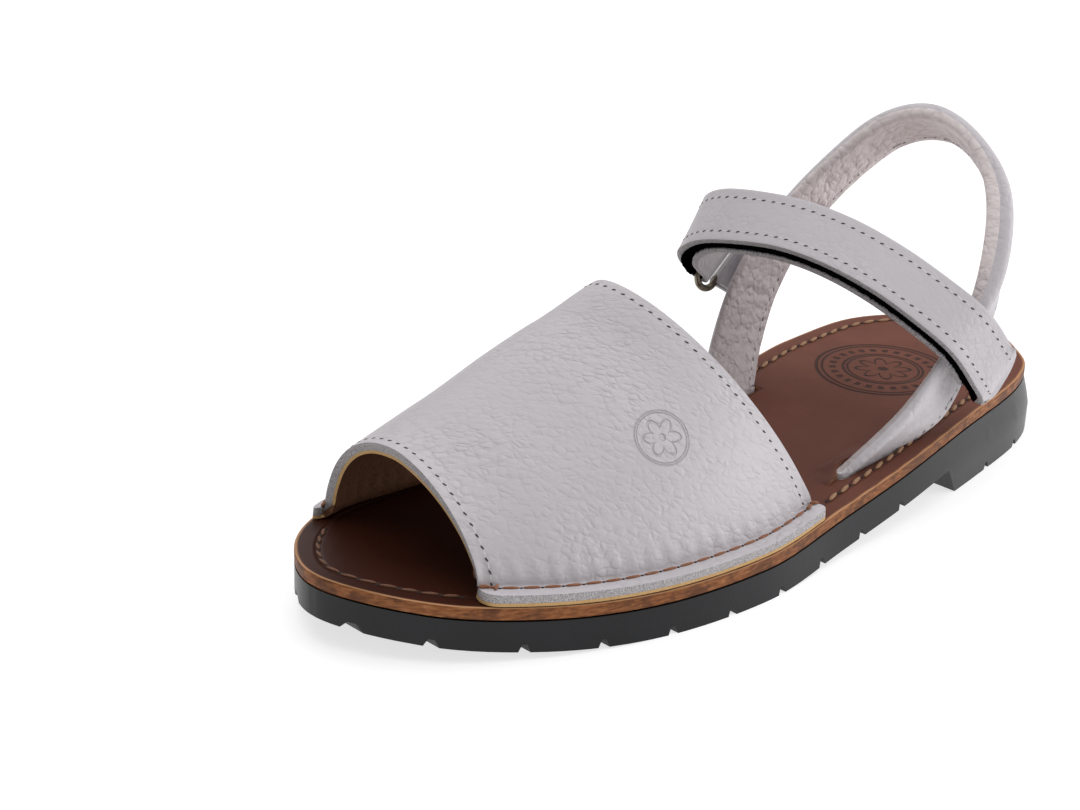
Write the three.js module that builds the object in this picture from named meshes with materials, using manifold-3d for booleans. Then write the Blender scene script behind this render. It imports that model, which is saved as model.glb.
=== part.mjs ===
// A left sandal: an open-toed leather vamp, a folded slingback, an ankle strap that runs through a ring,
// a leather insole and a rubber outsole with a low heel block.
// Millimetres. +Z up, the toe points to -Y, the outer (lateral) side is +X, the ground is Z = 0.
import * as THREE from 'three';
import { mergeVertices } from 'three/addons/utils/BufferGeometryUtils.js';
import Module from 'manifold-3d';

const wasm = await Module();
wasm.setup();

// Driving dimensions of the sole
const soleLength = 250;
const ballWidth = 90.6;
const insoleThickness = 3.2;
const rubberThickness = 7.4;
const heelRaise = 8.8;
const toeSpring = 6.5;
const soleFlare = 1.4;
const seamGap = 0.3;

// Heel block and tread grooves. Places along the sole are shares of its length from the middle
const heelBreastY = 0.204 * soleLength;
const breastSlope = 5;
const grooveDepth = 1.9;
const grooveWidth = 2.6;
const groovePitch = 17.3;
const frontGrooveY = -0.4456 * soleLength;
const toeGrooveY = -0.488 * soleLength;
const heelGroovePitch = 19;

// Vamp
const vampWall = 2.8;
const flangeWidth = 5;
const rimInset = 0.5;
const toeOpeningY = -0.4 * soleLength;
const throatY = -0.02 * soleLength;
const throatRise = 51;
const toeLean = -0.1;
const throatLean = 0.5;

// Slingback
const slingWidth = 22;
const slingWall = 2.6;
const foldRoll = 4.4;
const slingHalfSpan = 0.375 * ballWidth;
const slingReach = 0.248 * soleLength;
const slingRise = 73;
const slingCentreX = 0.06 * ballWidth;
const slitY = 0.104 * soleLength;
const legStub = 1.8;

// Ankle strap, ring and tab
const strapWidth = 16.5;
const strapWall = 1.8;
const tipLength = 5;
const hookLoopThickness = 2.3;
const strapHalfSpan = 0.4415 * ballWidth;
const strapSweep = 0.148 * soleLength;
const strapRise = 48;
const strapFrontY = 0.124 * soleLength;
const ringWire = 2;
const ringWidth = 6.4;
const ringPlay = 0.5;
const tabWidth = 12;
const tabWall = 1.4;
const tabStart = 0.02;
const tabEnd = 0.4;
const tabPlace = 0.165;
const slingLength = 3.8 * slingReach;

// Fineness of the faceted surfaces
const outlineSteps = 104;
const profileSteps = 44;
const vampSteps = 16;
const vampArcSteps = 26;
const slingSteps = 44;
const strapSteps = 22;
const foldSteps = 6;

const degrees = Math.PI / 180;
const vec = (x, y, z) => new THREE.Vector3(x, y, z);
const clamp01 = (value) => Math.min(Math.max(value, 0), 1);
const smooth = (value) => clamp01(value) ** 2 * (3 - 2 * clamp01(value));

// Smooth curve through a row of values, with t from 0 at the first to 1 at the last
function through(values, t) {
  const last = values.length - 1;
  const index = Math.min(Math.floor(t * last), last - 1);
  const f = t * last - index;
  const at = (k) => values[Math.min(Math.max(k, 0), last)];
  const [a, b, c, d] = [at(index - 1), at(index), at(index + 1), at(index + 2)];
  return b + 0.5 * f * (c - a + f * (2 * a - 5 * b + 4 * c - d + f * (3 * (b - c) + d - a)));
}

// Every column of a table at t
const readTable = (table, t) => table[0].map((_, column) => through(table.map((row) => row[column]), t));

// Closed solid from a grid of outer points and the matching grid of inner points
function sheetGeometry(outer, inner) {
  const rows = outer.length;
  const columns = outer[0].length;
  const positions = [...outer.flat(), ...inner.flat()].flatMap((point) => [point.x, point.y, point.z]);
  const index = [];
  const quad = (a, b, c, d) => index.push(a, b, c, a, c, d);
  const top = (row, column) => row * columns + column;
  const under = (row, column) => rows * columns + row * columns + column;
  for (let row = 0; row < rows - 1; row += 1) {
    for (let column = 0; column < columns - 1; column += 1) {
      quad(top(row, column), top(row, column + 1), top(row + 1, column + 1), top(row + 1, column));
      quad(under(row, column), under(row + 1, column), under(row + 1, column + 1), under(row, column + 1));
    }
    const far = columns - 1;
    quad(top(row, 0), top(row + 1, 0), under(row + 1, 0), under(row, 0));
    quad(top(row + 1, far), top(row, far), under(row, far), under(row + 1, far));
  }
  for (let column = 0; column < columns - 1; column += 1) {
    const end = rows - 1;
    quad(top(0, column + 1), top(0, column), under(0, column), under(0, column + 1));
    quad(top(end, column), top(end, column + 1), under(end, column + 1), under(end, column));
  }
  const geometry = new THREE.BufferGeometry();
  geometry.setAttribute('position', new THREE.Float32BufferAttribute(positions, 3));
  geometry.setIndex(index);
  return geometry;
}

function toSolid(source) {
  const bare = source.clone();
  bare.deleteAttribute('normal');
  bare.deleteAttribute('uv');
  const merged = mergeVertices(bare, 1e-4);
  return new wasm.Manifold(new wasm.Mesh({
    numProp: 3,
    vertProperties: new Float32Array(merged.attributes.position.array),
    triVerts: new Uint32Array(merged.index.array),
  }));
}

function toGeometry(solid) {
  const mesh = solid.getMesh();
  const geometry = new THREE.BufferGeometry();
  geometry.setAttribute('position', new THREE.BufferAttribute(new Float32Array(mesh.vertProperties), 3));
  geometry.setIndex(new THREE.BufferAttribute(new Uint32Array(mesh.triVerts), 1));
  return geometry;
}

// Outline of the insole seen from above: share of the length from the heel, share of the ball width
const outlineTable = [
  // along, side (+ is lateral)
  [0.000, -0.015], [0.008, 0.090], [0.030, 0.180], [0.060, 0.270], [0.110, 0.335], [0.220, 0.400],
  [0.360, 0.455], [0.500, 0.475], [0.620, 0.500], [0.740, 0.455], [0.860, 0.330], [0.950, 0.155],
  [1.000, -0.110], [0.970, -0.295], [0.890, -0.455], [0.760, -0.500], [0.640, -0.478], [0.500, -0.385],
  [0.360, -0.320], [0.220, -0.350], [0.110, -0.350], [0.060, -0.295], [0.030, -0.220], [0.008, -0.120],
];
const outline = new THREE.CatmullRomCurve3(
  outlineTable.map(([along, side]) => vec(side * ballWidth, (0.5 - along) * soleLength, 0)),
  true,
  'centripetal',
).getSpacedPoints(outlineSteps).slice(0, outlineSteps);

function insetOutline(inset) {
  return outline.map((point, k) => {
    const before = outline[(k + outlineSteps - 1) % outlineSteps];
    const after = outline[(k + 1) % outlineSteps];
    const along = after.clone().sub(before).normalize();
    return vec(point.x + inset * along.y, point.y - inset * along.x, 0);
  });
}

// X of an inset outline at a given Y, on the lateral (+1) or medial (-1) side
function edgeX(ring, y, side) {
  let best = null;
  ring.forEach((point, k) => {
    const next = ring[(k + 1) % ring.length];
    if ((point.y - y) * (next.y - y) > 0 || point.y === next.y) return;
    const x = point.x + ((next.x - point.x) * (y - point.y)) / (next.y - point.y);
    if (best === null || side * x > side * best) best = x;
  });
  return best;
}

// Height of the insole's top: flat at the ball, raised over the heel, sprung at the toe
function insoleTop(y) {
  const along = 0.5 - y / soleLength;
  const sprung = Math.max(0, (along - 0.72) / 0.28) ** 2;
  const base = rubberThickness + seamGap + insoleThickness;
  return base + heelRaise * smooth((0.62 - along) / 0.4) + toeSpring * sprung;
}
const rubberTop = (y) => insoleTop(y) - insoleThickness - seamGap;

// Solid with a side profile in the YZ plane, drawn across the whole width
function profileSolid(points) {
  const geometry = new THREE.ExtrudeGeometry(
    new THREE.Shape(points.map(([y, z]) => new THREE.Vector2(y, z))),
    { depth: 2 * ballWidth, bevelEnabled: false },
  );
  geometry.translate(0, 0, -ballWidth);
  geometry.applyMatrix4(new THREE.Matrix4().makeBasis(vec(0, 1, 0), vec(0, 0, 1), vec(1, 0, 0)));
  return toSolid(geometry);
}

function outlinePrism() {
  const geometry = new THREE.ExtrudeGeometry(
    new THREE.Shape(outline.map((point) => new THREE.Vector2(point.x, point.y))),
    { depth: soleLength, bevelEnabled: false },
  );
  geometry.translate(0, 0, -soleLength / 2);
  return toSolid(geometry);
}

const reachY = 0.525 * soleLength;
const profileYs = Array.from({ length: profileSteps + 1 }, (_, k) => reachY - (2 * reachY * k) / profileSteps);

// Underside of the rubber: the heel block, the arch behind the ball, the flat ball and the toe spring
function rubberUnderside() {
  const points = [];
  const grooves = [toeGrooveY];
  for (let y = frontGrooveY; y < heelBreastY - groovePitch; y += groovePitch) grooves.push(y);
  for (let y = heelBreastY + breastSlope + heelGroovePitch; y < 0.47 * soleLength; y += heelGroovePitch) {
    grooves.push(y);
  }
  const under = (y) => (y > heelBreastY ? 0 : rubberTop(y) - rubberThickness);
  const marks = profileYs.filter((y) => !grooves.some((groove) => Math.abs(groove - y) < grooveWidth)
    && Math.abs(y - heelBreastY) > 1.2 * breastSlope).map((y) => [y, under(y)]);
  points.push(...marks);
  points.push([heelBreastY, rubberTop(heelBreastY) - rubberThickness], [heelBreastY + breastSlope, 0]);
  grooves.forEach((y) => {
    points.push([y - grooveWidth / 2, under(y - grooveWidth / 2)]);
    points.push([y - grooveWidth / 5, under(y) + grooveDepth]);
    points.push([y + grooveWidth / 5, under(y) + grooveDepth]);
    points.push([y + grooveWidth / 2, under(y + grooveWidth / 2)]);
  });
  return points.sort((a, b) => a[0] - b[0]);
}

function outsoleGeometry() {
  const top = profileYs.map((y) => [y, rubberTop(y)]);
  const solid = outlinePrism().intersect(profileSolid([...rubberUnderside(), ...top]));
  const geometry = toGeometry(solid);
  const position = geometry.attributes.position;
  for (let k = 0; k < position.count; k += 1) {
    const y = position.getY(k);
    const depth = clamp01((rubberTop(y) - position.getZ(k)) / rubberThickness);
    const along = 0.5 - y / soleLength;
    const flare = soleFlare * depth * (1 + 0.7 * smooth((0.3 - along) / 0.3) - smooth((along - 0.78) / 0.22));
    position.setX(k, position.getX(k) * (1 + (2 * flare) / ballWidth));
    position.setY(k, y * (1 + (2 * flare) / soleLength));
  }
  return geometry;
}

// Vamp: one wall from the lateral rim over the foot to the medial rim
const rimRing = insetOutline(rimInset);
const creaseRing = insetOutline(rimInset + flangeWidth);
const vampTable = [
  // share of the throat's rise, peak's share from the lateral side, lateral and medial roundness,
  // share of the flange's width on the medial side, lead of the lateral and medial rim in flange widths
  [0.44, 0.58, 1.60, 2.25, 0.50, -0.36, -0.90],
  [0.60, 0.61, 1.62, 2.30, 0.90, 0.00, 0.00],
  [0.75, 0.64, 1.66, 2.35, 1.00, 0.00, 0.00],
  [0.88, 0.67, 1.70, 2.35, 1.00, 0.00, 0.00],
  [1.00, 0.69, 1.74, 2.35, 1.00, 0.24, 0.24],
];

function vampRow(t) {
  const [riseShare, peak, lateralRound, medialRound, medialShare, ...leads] = readTable(vampTable, t);
  const rise = riseShare * throatRise;
  const y = toeOpeningY + (throatY - toeOpeningY) * t;
  const lean = toeLean + (throatLean - toeLean) * t;
  const floor = insoleTop(y) + seamGap;
  const flangeTop = floor + vampWall;
  const lateral = edgeX(creaseRing, y, 1);
  const medial = edgeX(rimRing, y, -1) * (1 - medialShare) + edgeX(creaseRing, y, -1) * medialShare;
  const peakX = lateral + (medial - lateral) * peak;
  const outer = [];
  for (let k = 0; k <= vampArcSteps; k += 1) {
    const angle = (Math.PI * k) / vampArcSteps;
    const side = Math.cos(angle) >= 0 ? 1 : -1;
    const round = side > 0 ? lateralRound : medialRound;
    const half = side > 0 ? lateral - peakX : peakX - medial;
    const x = peakX + side * half * Math.abs(Math.cos(angle)) ** (2 / round);
    const z = rise * Math.max(Math.sin(angle), 0) ** (2 / round);
    outer.push(vec(x, y - lean * z, flangeTop + z));
  }
  const inner = outer.map((point, k) => {
    const before = outer[Math.max(k - 1, 0)];
    const after = outer[Math.min(k + 1, vampArcSteps)];
    const along = after.clone().sub(before).normalize();
    return point.clone().addScaledVector(vec(0, 1, lean).cross(along).normalize(), -vampWall);
  });
  inner[0] = vec(lateral - vampWall, y, floor);
  inner[vampArcSteps] = vec(medial + vampWall, y, floor);
  const rim = (side, lead) => {
    const rimY = y + lead * flangeWidth;
    return vec(edgeX(rimRing, rimY, side), rimY, insoleTop(rimY) + seamGap);
  };
  const lift = vec(0, 0, vampWall);
  const [lateralRim, medialRim] = [rim(1, leads[0]), rim(-1, leads[1])];
  return {
    outer: [lateralRim.clone().add(lift), ...outer, medialRim.clone().add(lift)],
    inner: [lateralRim, ...inner, medialRim],
  };
}

function vampGeometry() {
  const rows = Array.from({ length: vampSteps + 1 }, (_, k) => vampRow(k / vampSteps));
  return sheetGeometry(rows.map((row) => row.inner), rows.map((row) => row.outer));
}

// Slingback: a folded band from the medial slit, round the heel, to the lateral slit
const slingTable = [
  // side, back and rise as shares of the half span, reach and rise; dip and sideways share of the width;
  // width and fold as shares of the full ones
  [-0.67, 0.00, 0.00, -4, 0.00, 1.00, 0.7],
  [-0.89, 0.19, 0.18, 18, 0.06, 0.92, 0.6],
  [-1.01, 0.39, 0.38, 32, 0.06, 0.87, 0.6],
  [-0.99, 0.60, 0.58, 35, -0.04, 0.83, 0.7],
  [-0.83, 0.80, 0.77, 34, -0.08, 0.80, 0.9],
  [-0.53, 0.95, 0.94, 35, -0.04, 0.78, 1.0],
  [-0.11, 1.00, 1.00, 41, -0.03, 0.78, 1.0],
  [0.34, 0.96, 0.93, 47, -0.17, 0.78, 1.0],
  [0.66, 0.88, 0.76, 50, -0.38, 0.80, 1.6],
  [0.875, 0.71, 0.51, 43, -0.33, 0.83, 1.6],
  [0.89, 0.51, 0.31, 38, -0.22, 0.87, 0.6],
  [0.91, 0.25, 0.13, 18, -0.05, 0.93, 0.9],
  [0.80, -0.025, 0.00, -6, 0.06, 1.06, 0.8],
];
// Half thickness of the band across its width, from the folded edge to the sewn edge
const slingSection = [
  // share of the width, share of the fold's half thickness, share of the wall's half thickness
  [0.000, 0.30, 0.0], [0.035, 0.75, 0.0], [0.110, 1.00, 0.0], [0.200, 0.85, 0.1], [0.330, 0.35, 0.55],
  [0.600, 0.00, 1.0], [0.960, 0.00, 1.0], [1.000, 0.00, 0.6],
];

function slingFrame(t) {
  const place = (share) => {
    const [side, back, rise] = readTable(slingTable, clamp01(share));
    const foot = insoleTop(slitY);
    return vec(slingCentreX + side * slingHalfSpan, slitY + back * slingReach, foot + rise * slingRise);
  };
  const [, , , dip, lean, widthShare, fold] = readTable(slingTable, t);
  const centre = place(t);
  const along = place(t + 0.01).sub(place(t - 0.01)).normalize();
  const across = vec(lean, Math.cos(dip * degrees), -Math.sin(dip * degrees)).normalize();
  const outward = along.clone().cross(across).normalize();
  return { centre, across, outward, width: slingWidth * widthShare, fold: foldRoll * fold };
}

function slingSectionPoints(frame, grow, side) {
  return slingSection.map(([share, roll, wall]) => {
    const half = (roll * frame.fold + wall * slingWall) / 2 + grow;
    const stretch = (share - 0.5) * (frame.width + 2 * grow);
    return frame.centre.clone().addScaledVector(frame.across, stretch).addScaledVector(frame.outward, side * half);
  });
}

// The legs run straight down into the insole's slits
function slingFootRow(t, grow, side, drop) {
  const frame = slingFrame(t);
  frame.outward = vec(t < 0.5 ? -1 : 1, 0, 0);
  frame.across = vec(0.08 * (t < 0.5 ? 0.3 : 1), 1, 0).normalize();
  return slingSectionPoints(frame, grow, side).map((point) => point.setZ(insoleTop(point.y) + drop));
}

const restOnInsole = (point) => point.setZ(Math.max(point.z, insoleTop(point.y) + seamGap));

function slingbackSolid(grow = 0) {
  const seat = -insoleThickness;
  const sheet = (side) => {
    const rows = [slingFootRow(0, grow, side, seat), slingFootRow(0, grow, side, legStub)];
    for (let k = 1; k < slingSteps; k += 1) {
      rows.push(slingSectionPoints(slingFrame(k / slingSteps), grow, side).map(restOnInsole));
    }
    rows.push(slingFootRow(1, grow, side, legStub), slingFootRow(1, grow, side, seat));
    return rows;
  };
  return toSolid(sheetGeometry(sheet(-1), sheet(1)));
}

function slitTool(t) {
  const depth = insoleThickness + legStub;
  const sheet = (side) => [-depth, legStub].map((drop) => slingFootRow(t, seamGap, side, drop));
  return toSolid(t < 0.5 ? sheetGeometry(sheet(-1), sheet(1)) : sheetGeometry(sheet(1), sheet(-1)));
}

function insoleGeometry() {
  const top = profileYs.map((y) => [y, insoleTop(y)]);
  const bottom = profileYs.map((y) => [y, insoleTop(y) - insoleThickness]).reverse();
  const solid = outlinePrism().intersect(profileSolid([...bottom, ...top]));
  return toGeometry(solid.subtract(slitTool(0)).subtract(slitTool(1)));
}

// Ankle strap: the middle line between its two layers, from the lateral tip to the ring
const strapTable = [
  // side, back and rise as shares of the half span, sweep and rise; dip of the width in degrees
  [1.065, 0.84, 0.310, 30],
  [1.070, 0.76, 0.365, 30],
  [0.990, 0.58, 0.560, 29],
  [0.770, 0.43, 0.715, 27],
  [0.495, 0.31, 0.845, 27],
  [0.195, 0.19, 0.945, 30],
  [-0.115, 0.09, 0.995, 34],
  [-0.425, 0.02, 0.990, 41],
  [-0.700, 0.00, 0.950, 48],
  [-0.885, 0.055, 0.865, 54],
  [-0.955, 0.15, 0.765, 55],
  [-0.930, 0.255, 0.670, 53],
];
const legShare = 0.1;
const layerOffset = hookLoopThickness / 2 + seamGap + strapWall / 2;
const foldOffset = Math.max(ringWire / 2 + ringPlay + seamGap + strapWall / 2, layerOffset);

function strapFrame(t) {
  const place = (share) => {
    const [side, back, rise] = readTable(strapTable, clamp01(share));
    return vec(side * strapHalfSpan, strapFrontY + back * strapSweep, insoleTop(soleLength / 2) + rise * strapRise);
  };
  const centre = place(t);
  const along = place(t + 0.01).sub(place(t - 0.01)).normalize();
  const dip = readTable(strapTable, t)[3] * degrees;
  const across = vec(0, -Math.cos(dip), -Math.sin(dip));
  across.addScaledVector(along, -across.dot(along)).normalize();
  return { centre, along, across, outward: along.clone().cross(across).normalize() };
}

const strapGap = (t) => layerOffset + (foldOffset - layerOffset) * smooth((t - 0.8) / 0.2);
const tipRound = [
  // share of the width from the middle, share of the tip's length
  [-0.5, 0], [-0.38, 0.7], [-0.17, 1], [0.17, 1], [0.38, 0.7], [0.5, 0],
];

function strapRow(frame, offset, width = strapWidth, tip = 0) {
  return tipRound.map(([share, reach]) => frame.centre.clone()
    .addScaledVector(frame.across, share * width)
    .addScaledVector(frame.outward, offset)
    .addScaledVector(frame.along, -tip * reach));
}

// One layer's rows on the outer or inner side, then the fold round the ring, then the other layer
function ankleStrapSolid() {
  const end = strapFrame(1);
  const rowsAt = (shift) => {
    const rows = [];
    for (let k = 0; k <= strapSteps; k += 1) {
      const t = k / strapSteps;
      rows.push(strapRow(strapFrame(t), strapGap(t) + shift, strapWidth, k === 0 ? tipLength : 0));
    }
    for (let k = 1; k < foldSteps; k += 1) {
      const angle = (Math.PI * k) / foldSteps;
      const radius = strapGap(1) + shift;
      rows.push(strapRow(end, radius * Math.cos(angle)).map((point) => point
        .addScaledVector(end.along, radius * Math.sin(angle))));
    }
    for (let k = strapSteps; k >= 0; k -= 1) {
      const t = legShare + ((1 - legShare) * k) / strapSteps;
      rows.push(strapRow(strapFrame(t), -(strapGap(t) + shift)));
    }
    return rows;
  };
  return toSolid(sheetGeometry(rowsAt(-strapWall / 2), rowsAt(strapWall / 2)));
}

function hookLoopSolid() {
  const stop = 0.8;
  const sheet = (side) => Array.from({ length: strapSteps + 1 }, (_, k) => {
    const frame = strapFrame(0.02 + ((stop - 0.02) * k) / strapSteps);
    return strapRow(frame, (side * hookLoopThickness) / 2, 0.94 * strapWidth);
  });
  return toSolid(sheetGeometry(sheet(-1), sheet(1)));
}

// Ring: an oval of wire whose straight bars lie across the strap
const ringFrame = strapFrame(1);
const ringBar = strapWidth * 0.8;
const farBar = ringFrame.centre.clone().addScaledVector(ringFrame.along, ringWidth);

function ringGeometry() {
  const radius = ringWidth / 2;
  const points = [];
  for (let k = 0; k < 24; k += 1) {
    const angle = (2 * Math.PI * (k + 0.5)) / 24;
    const bar = Math.sign(Math.cos(angle)) * (ringBar / 2);
    points.push(ringFrame.centre.clone()
      .addScaledVector(ringFrame.across, bar + radius * Math.cos(angle))
      .addScaledVector(ringFrame.along, radius + radius * Math.sin(angle)));
  }
  return new THREE.TubeGeometry(new THREE.CatmullRomCurve3(points, true, 'centripetal'), 48, ringWire / 2, 10, true);
}

// Tab: a short strip folded round the ring's far bar and laid on the medial leg's outer face
const tabShares = [-0.5, 0, 0.5];

function sewnTabRow(reach, height) {
  return tabShares.map((share) => {
    const leg = slingFrame(tabPlace - (share * tabWidth) / slingLength);
    return leg.centre.clone()
      .addScaledVector(leg.across, reach * leg.width)
      .addScaledVector(leg.outward, height);
  });
}

function ringTabSolid() {
  const seat = slingWall / 2 + 1.5 * seamGap;
  const radius = ringWire / 2 + seamGap + tabWall / 2;
  const meeting = sewnTabRow(tabStart, seat + tabWall)[1];
  const heading = meeting.sub(farBar).addScaledVector(ringFrame.across, -meeting.dot(ringFrame.across)).normalize();
  const outward = heading.clone().cross(ringFrame.across).normalize();
  const rowsAt = (shift) => {
    const outer = seat + 1.5 * tabWall + seamGap + shift;
    const inner = seat + 0.5 * tabWall - shift;
    const rows = [sewnTabRow(tabEnd, outer), sewnTabRow(tabStart, outer)];
    for (let k = 0; k <= foldSteps; k += 1) {
      const angle = (Math.PI * k) / foldSteps;
      rows.push(tabShares.map((share) => farBar.clone()
        .addScaledVector(ringFrame.across, share * tabWidth)
        .addScaledVector(outward, (radius + shift) * Math.cos(angle))
        .addScaledVector(heading, -(radius + shift) * Math.sin(angle))));
    }
    rows.push(sewnTabRow(tabStart, inner), sewnTabRow(tabEnd, inner));
    return rows;
  };
  return toSolid(sheetGeometry(rowsAt(tabWall / 2), rowsAt(-tabWall / 2)));
}

const rubber = new THREE.MeshStandardMaterial({ color: '#2b2b2e', roughness: 0.55, metalness: 0 });
const insoleLeather = new THREE.MeshStandardMaterial({ color: '#5a3a31', roughness: 0.45, metalness: 0 });
const whiteLeather = new THREE.MeshStandardMaterial({ color: '#dcd8dc', roughness: 0.6, metalness: 0 });
const hookLoopFabric = new THREE.MeshStandardMaterial({ color: '#0d0d10', roughness: 0.95, metalness: 0 });
const ringMetal = new THREE.MeshStandardMaterial({ color: '#5c564e', roughness: 0.3, metalness: 1 });

const sandal = new THREE.Group();

function addPiece(name, geometry, material) {
  const mesh = new THREE.Mesh(geometry, material);
  mesh.name = name;
  sandal.add(mesh);
}

const slingback = slingbackSolid();
const straps = slingback.add(ankleStrapSolid());

addPiece('outsole', outsoleGeometry(), rubber);
addPiece('insole', insoleGeometry(), insoleLeather);
addPiece('vamp', vampGeometry(), whiteLeather);
addPiece('slingback_and_ankle_strap', toGeometry(straps), whiteLeather);
addPiece('hook_and_loop', toGeometry(hookLoopSolid().subtract(slingbackSolid(seamGap))), hookLoopFabric);
addPiece('ring', ringGeometry(), ringMetal);
addPiece('ring_tab', toGeometry(ringTabSolid()), whiteLeather);

// The origin is on the ground, in the middle of the whole footprint
const bounds = new THREE.Box3().setFromObject(sandal);
const middle = bounds.getCenter(vec(0, 0, 0));
sandal.position.set(-middle.x, -middle.y, -bounds.min.z);

export default sandal;
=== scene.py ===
"""Left leather slingback sandal: white pebbled vamp and straps, stitched brown insole, black rubber sole.

Lengths are millimetres in the helpers and metres in the meshes. The toe points to -Y and lateral is +X.
"""

import functools
import math
import random

import bmesh
import bpy
import numpy as np
from mathutils import Matrix, Vector, noise


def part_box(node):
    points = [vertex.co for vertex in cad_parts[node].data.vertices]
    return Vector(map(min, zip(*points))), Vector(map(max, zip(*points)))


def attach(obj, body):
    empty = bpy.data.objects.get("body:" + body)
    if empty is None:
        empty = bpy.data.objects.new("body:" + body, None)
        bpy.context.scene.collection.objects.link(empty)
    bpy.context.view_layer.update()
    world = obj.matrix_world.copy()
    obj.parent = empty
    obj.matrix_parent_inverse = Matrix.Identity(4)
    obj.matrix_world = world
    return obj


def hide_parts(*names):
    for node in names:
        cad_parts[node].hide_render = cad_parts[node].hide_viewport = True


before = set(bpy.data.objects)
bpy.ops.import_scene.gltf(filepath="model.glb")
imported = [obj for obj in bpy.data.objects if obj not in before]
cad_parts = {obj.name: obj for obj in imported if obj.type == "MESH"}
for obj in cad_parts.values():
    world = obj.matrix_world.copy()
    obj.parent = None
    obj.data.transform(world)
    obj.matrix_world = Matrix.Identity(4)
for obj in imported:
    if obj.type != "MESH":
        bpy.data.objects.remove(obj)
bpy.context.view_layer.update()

MM = 0.001

# Sizes, as in the part
SOLE_LENGTH = 250.0
BALL_WIDTH = 90.6
INSOLE_THICKNESS = 3.2
RUBBER_THICKNESS = 7.4
HEEL_RAISE = 8.8
TOE_SPRING = 6.5
SOLE_FLARE = 1.4
SEAM_GAP = 0.3

HEEL_BREAST_Y = 51.0
BREAST_SLOPE = 5.0
GROOVE_DEPTH = 1.9
GROOVE_WIDTH = 2.6
GROOVE_PITCH = 17.3
FRONT_GROOVE_Y = -111.4
TOE_GROOVE_Y = -122.0
HEEL_GROOVE_PITCH = 19.0

VAMP_WALL = 2.8
LINING_WALL = 0.8
FLANGE_WIDTH = 5.0
RIM_INSET = 0.5
TOE_OPENING_Y = -100.0
THROAT_Y = -5.0
THROAT_RISE = 51.0
TOE_LEAN = -0.1
THROAT_LEAN = 0.5

SLING_WIDTH = 22.0
SLING_WALL = 2.6
FOLD_ROLL = 4.4
SLING_HALF_SPAN = 0.375 * BALL_WIDTH
SLING_REACH = 62.0
SLING_RISE = 73.0
SLING_CENTRE_X = 0.06 * BALL_WIDTH
SLIT_Y = 26.0
LEG_STUB = 1.8

STRAP_WIDTH = 16.5
STRAP_WALL = 1.8
TIP_LENGTH = 5.0
HOOK_LOOP_THICKNESS = 2.3
STRAP_HALF_SPAN = 0.4415 * BALL_WIDTH
STRAP_SWEEP = 37.0
STRAP_RISE = 48.0
STRAP_FRONT_Y = 31.0
LEG_SHARE = 0.1
RING_WIRE = 2.0
RING_WIDTH = 6.4
RING_PLAY = 0.5
TAB_WIDTH = 12.0
TAB_WALL = 1.4
TAB_START = 0.02
TAB_END = 0.4
TAB_PLACE = 0.165
SLING_LENGTH = 3.8 * SLING_REACH
INSOLE_SEAM_INSET = 5.5
CREASE_SEAM = 0.75
SLING_SEAM = 0.87

OUTLINE = [
    # share of the length from the heel, share of the ball width (+ is lateral)
    (0.000, -0.015), (0.008, 0.090), (0.030, 0.180), (0.060, 0.270), (0.110, 0.335), (0.220, 0.400),
    (0.360, 0.455), (0.500, 0.475), (0.620, 0.500), (0.740, 0.455), (0.860, 0.330), (0.950, 0.155),
    (1.000, -0.110), (0.970, -0.295), (0.890, -0.455), (0.760, -0.500), (0.640, -0.478), (0.500, -0.385),
    (0.360, -0.320), (0.220, -0.350), (0.110, -0.350), (0.060, -0.295), (0.030, -0.220), (0.008, -0.120),
]
VAMP_TABLE = [
    # rise, peak's share from the lateral side, lateral and medial roundness, medial crease share, rim leads
    (0.44, 0.58, 1.60, 2.25, 0.50, -0.36, -0.90),
    (0.60, 0.61, 1.62, 2.30, 0.90, 0.00, 0.00),
    (0.75, 0.64, 1.66, 2.35, 1.00, 0.00, 0.00),
    (0.88, 0.67, 1.70, 2.35, 1.00, 0.00, 0.00),
    (1.00, 0.69, 1.74, 2.35, 1.00, 0.24, 0.24),
]
SLING_TABLE = [
    # side, back, rise, dip, sideways share, width share, fold share
    (-0.67, 0.00, 0.00, -4, 0.00, 1.00, 0.7),
    (-0.89, 0.19, 0.18, 18, 0.06, 0.92, 0.6),
    (-1.01, 0.39, 0.38, 32, 0.06, 0.87, 0.6),
    (-0.99, 0.60, 0.58, 35, -0.04, 0.83, 0.7),
    (-0.83, 0.80, 0.77, 34, -0.08, 0.80, 0.9),
    (-0.53, 0.95, 0.94, 35, -0.04, 0.78, 1.0),
    (-0.11, 1.00, 1.00, 41, -0.03, 0.78, 1.0),
    (0.34, 0.96, 0.93, 47, -0.17, 0.78, 1.0),
    (0.66, 0.88, 0.76, 50, -0.38, 0.80, 1.6),
    (0.875, 0.71, 0.51, 43, -0.33, 0.83, 1.6),
    (0.89, 0.51, 0.31, 38, -0.22, 0.87, 0.6),
    (0.91, 0.25, 0.13, 18, -0.05, 0.93, 0.9),
    (0.80, -0.025, 0.00, -6, 0.06, 1.06, 0.8),
]
SLING_SECTION = [
    # share of the width, share of the fold's and of the wall's half thickness
    (0.000, 0.00, 0.0), (0.010, 0.42, 0.0), (0.035, 0.75, 0.0), (0.070, 0.93, 0.0), (0.110, 1.00, 0.0),
    (0.155, 0.96, 0.03), (0.200, 0.85, 0.1), (0.260, 0.62, 0.3), (0.330, 0.35, 0.55), (0.420, 0.15, 0.8),
    (0.520, 0.04, 0.95), (0.640, 0.00, 1.0), (0.760, 0.00, 1.0), (0.860, 0.00, 1.0), (0.930, 0.00, 1.0),
    (0.970, 0.00, 0.97), (1.000, 0.00, 0.80),
]
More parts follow.
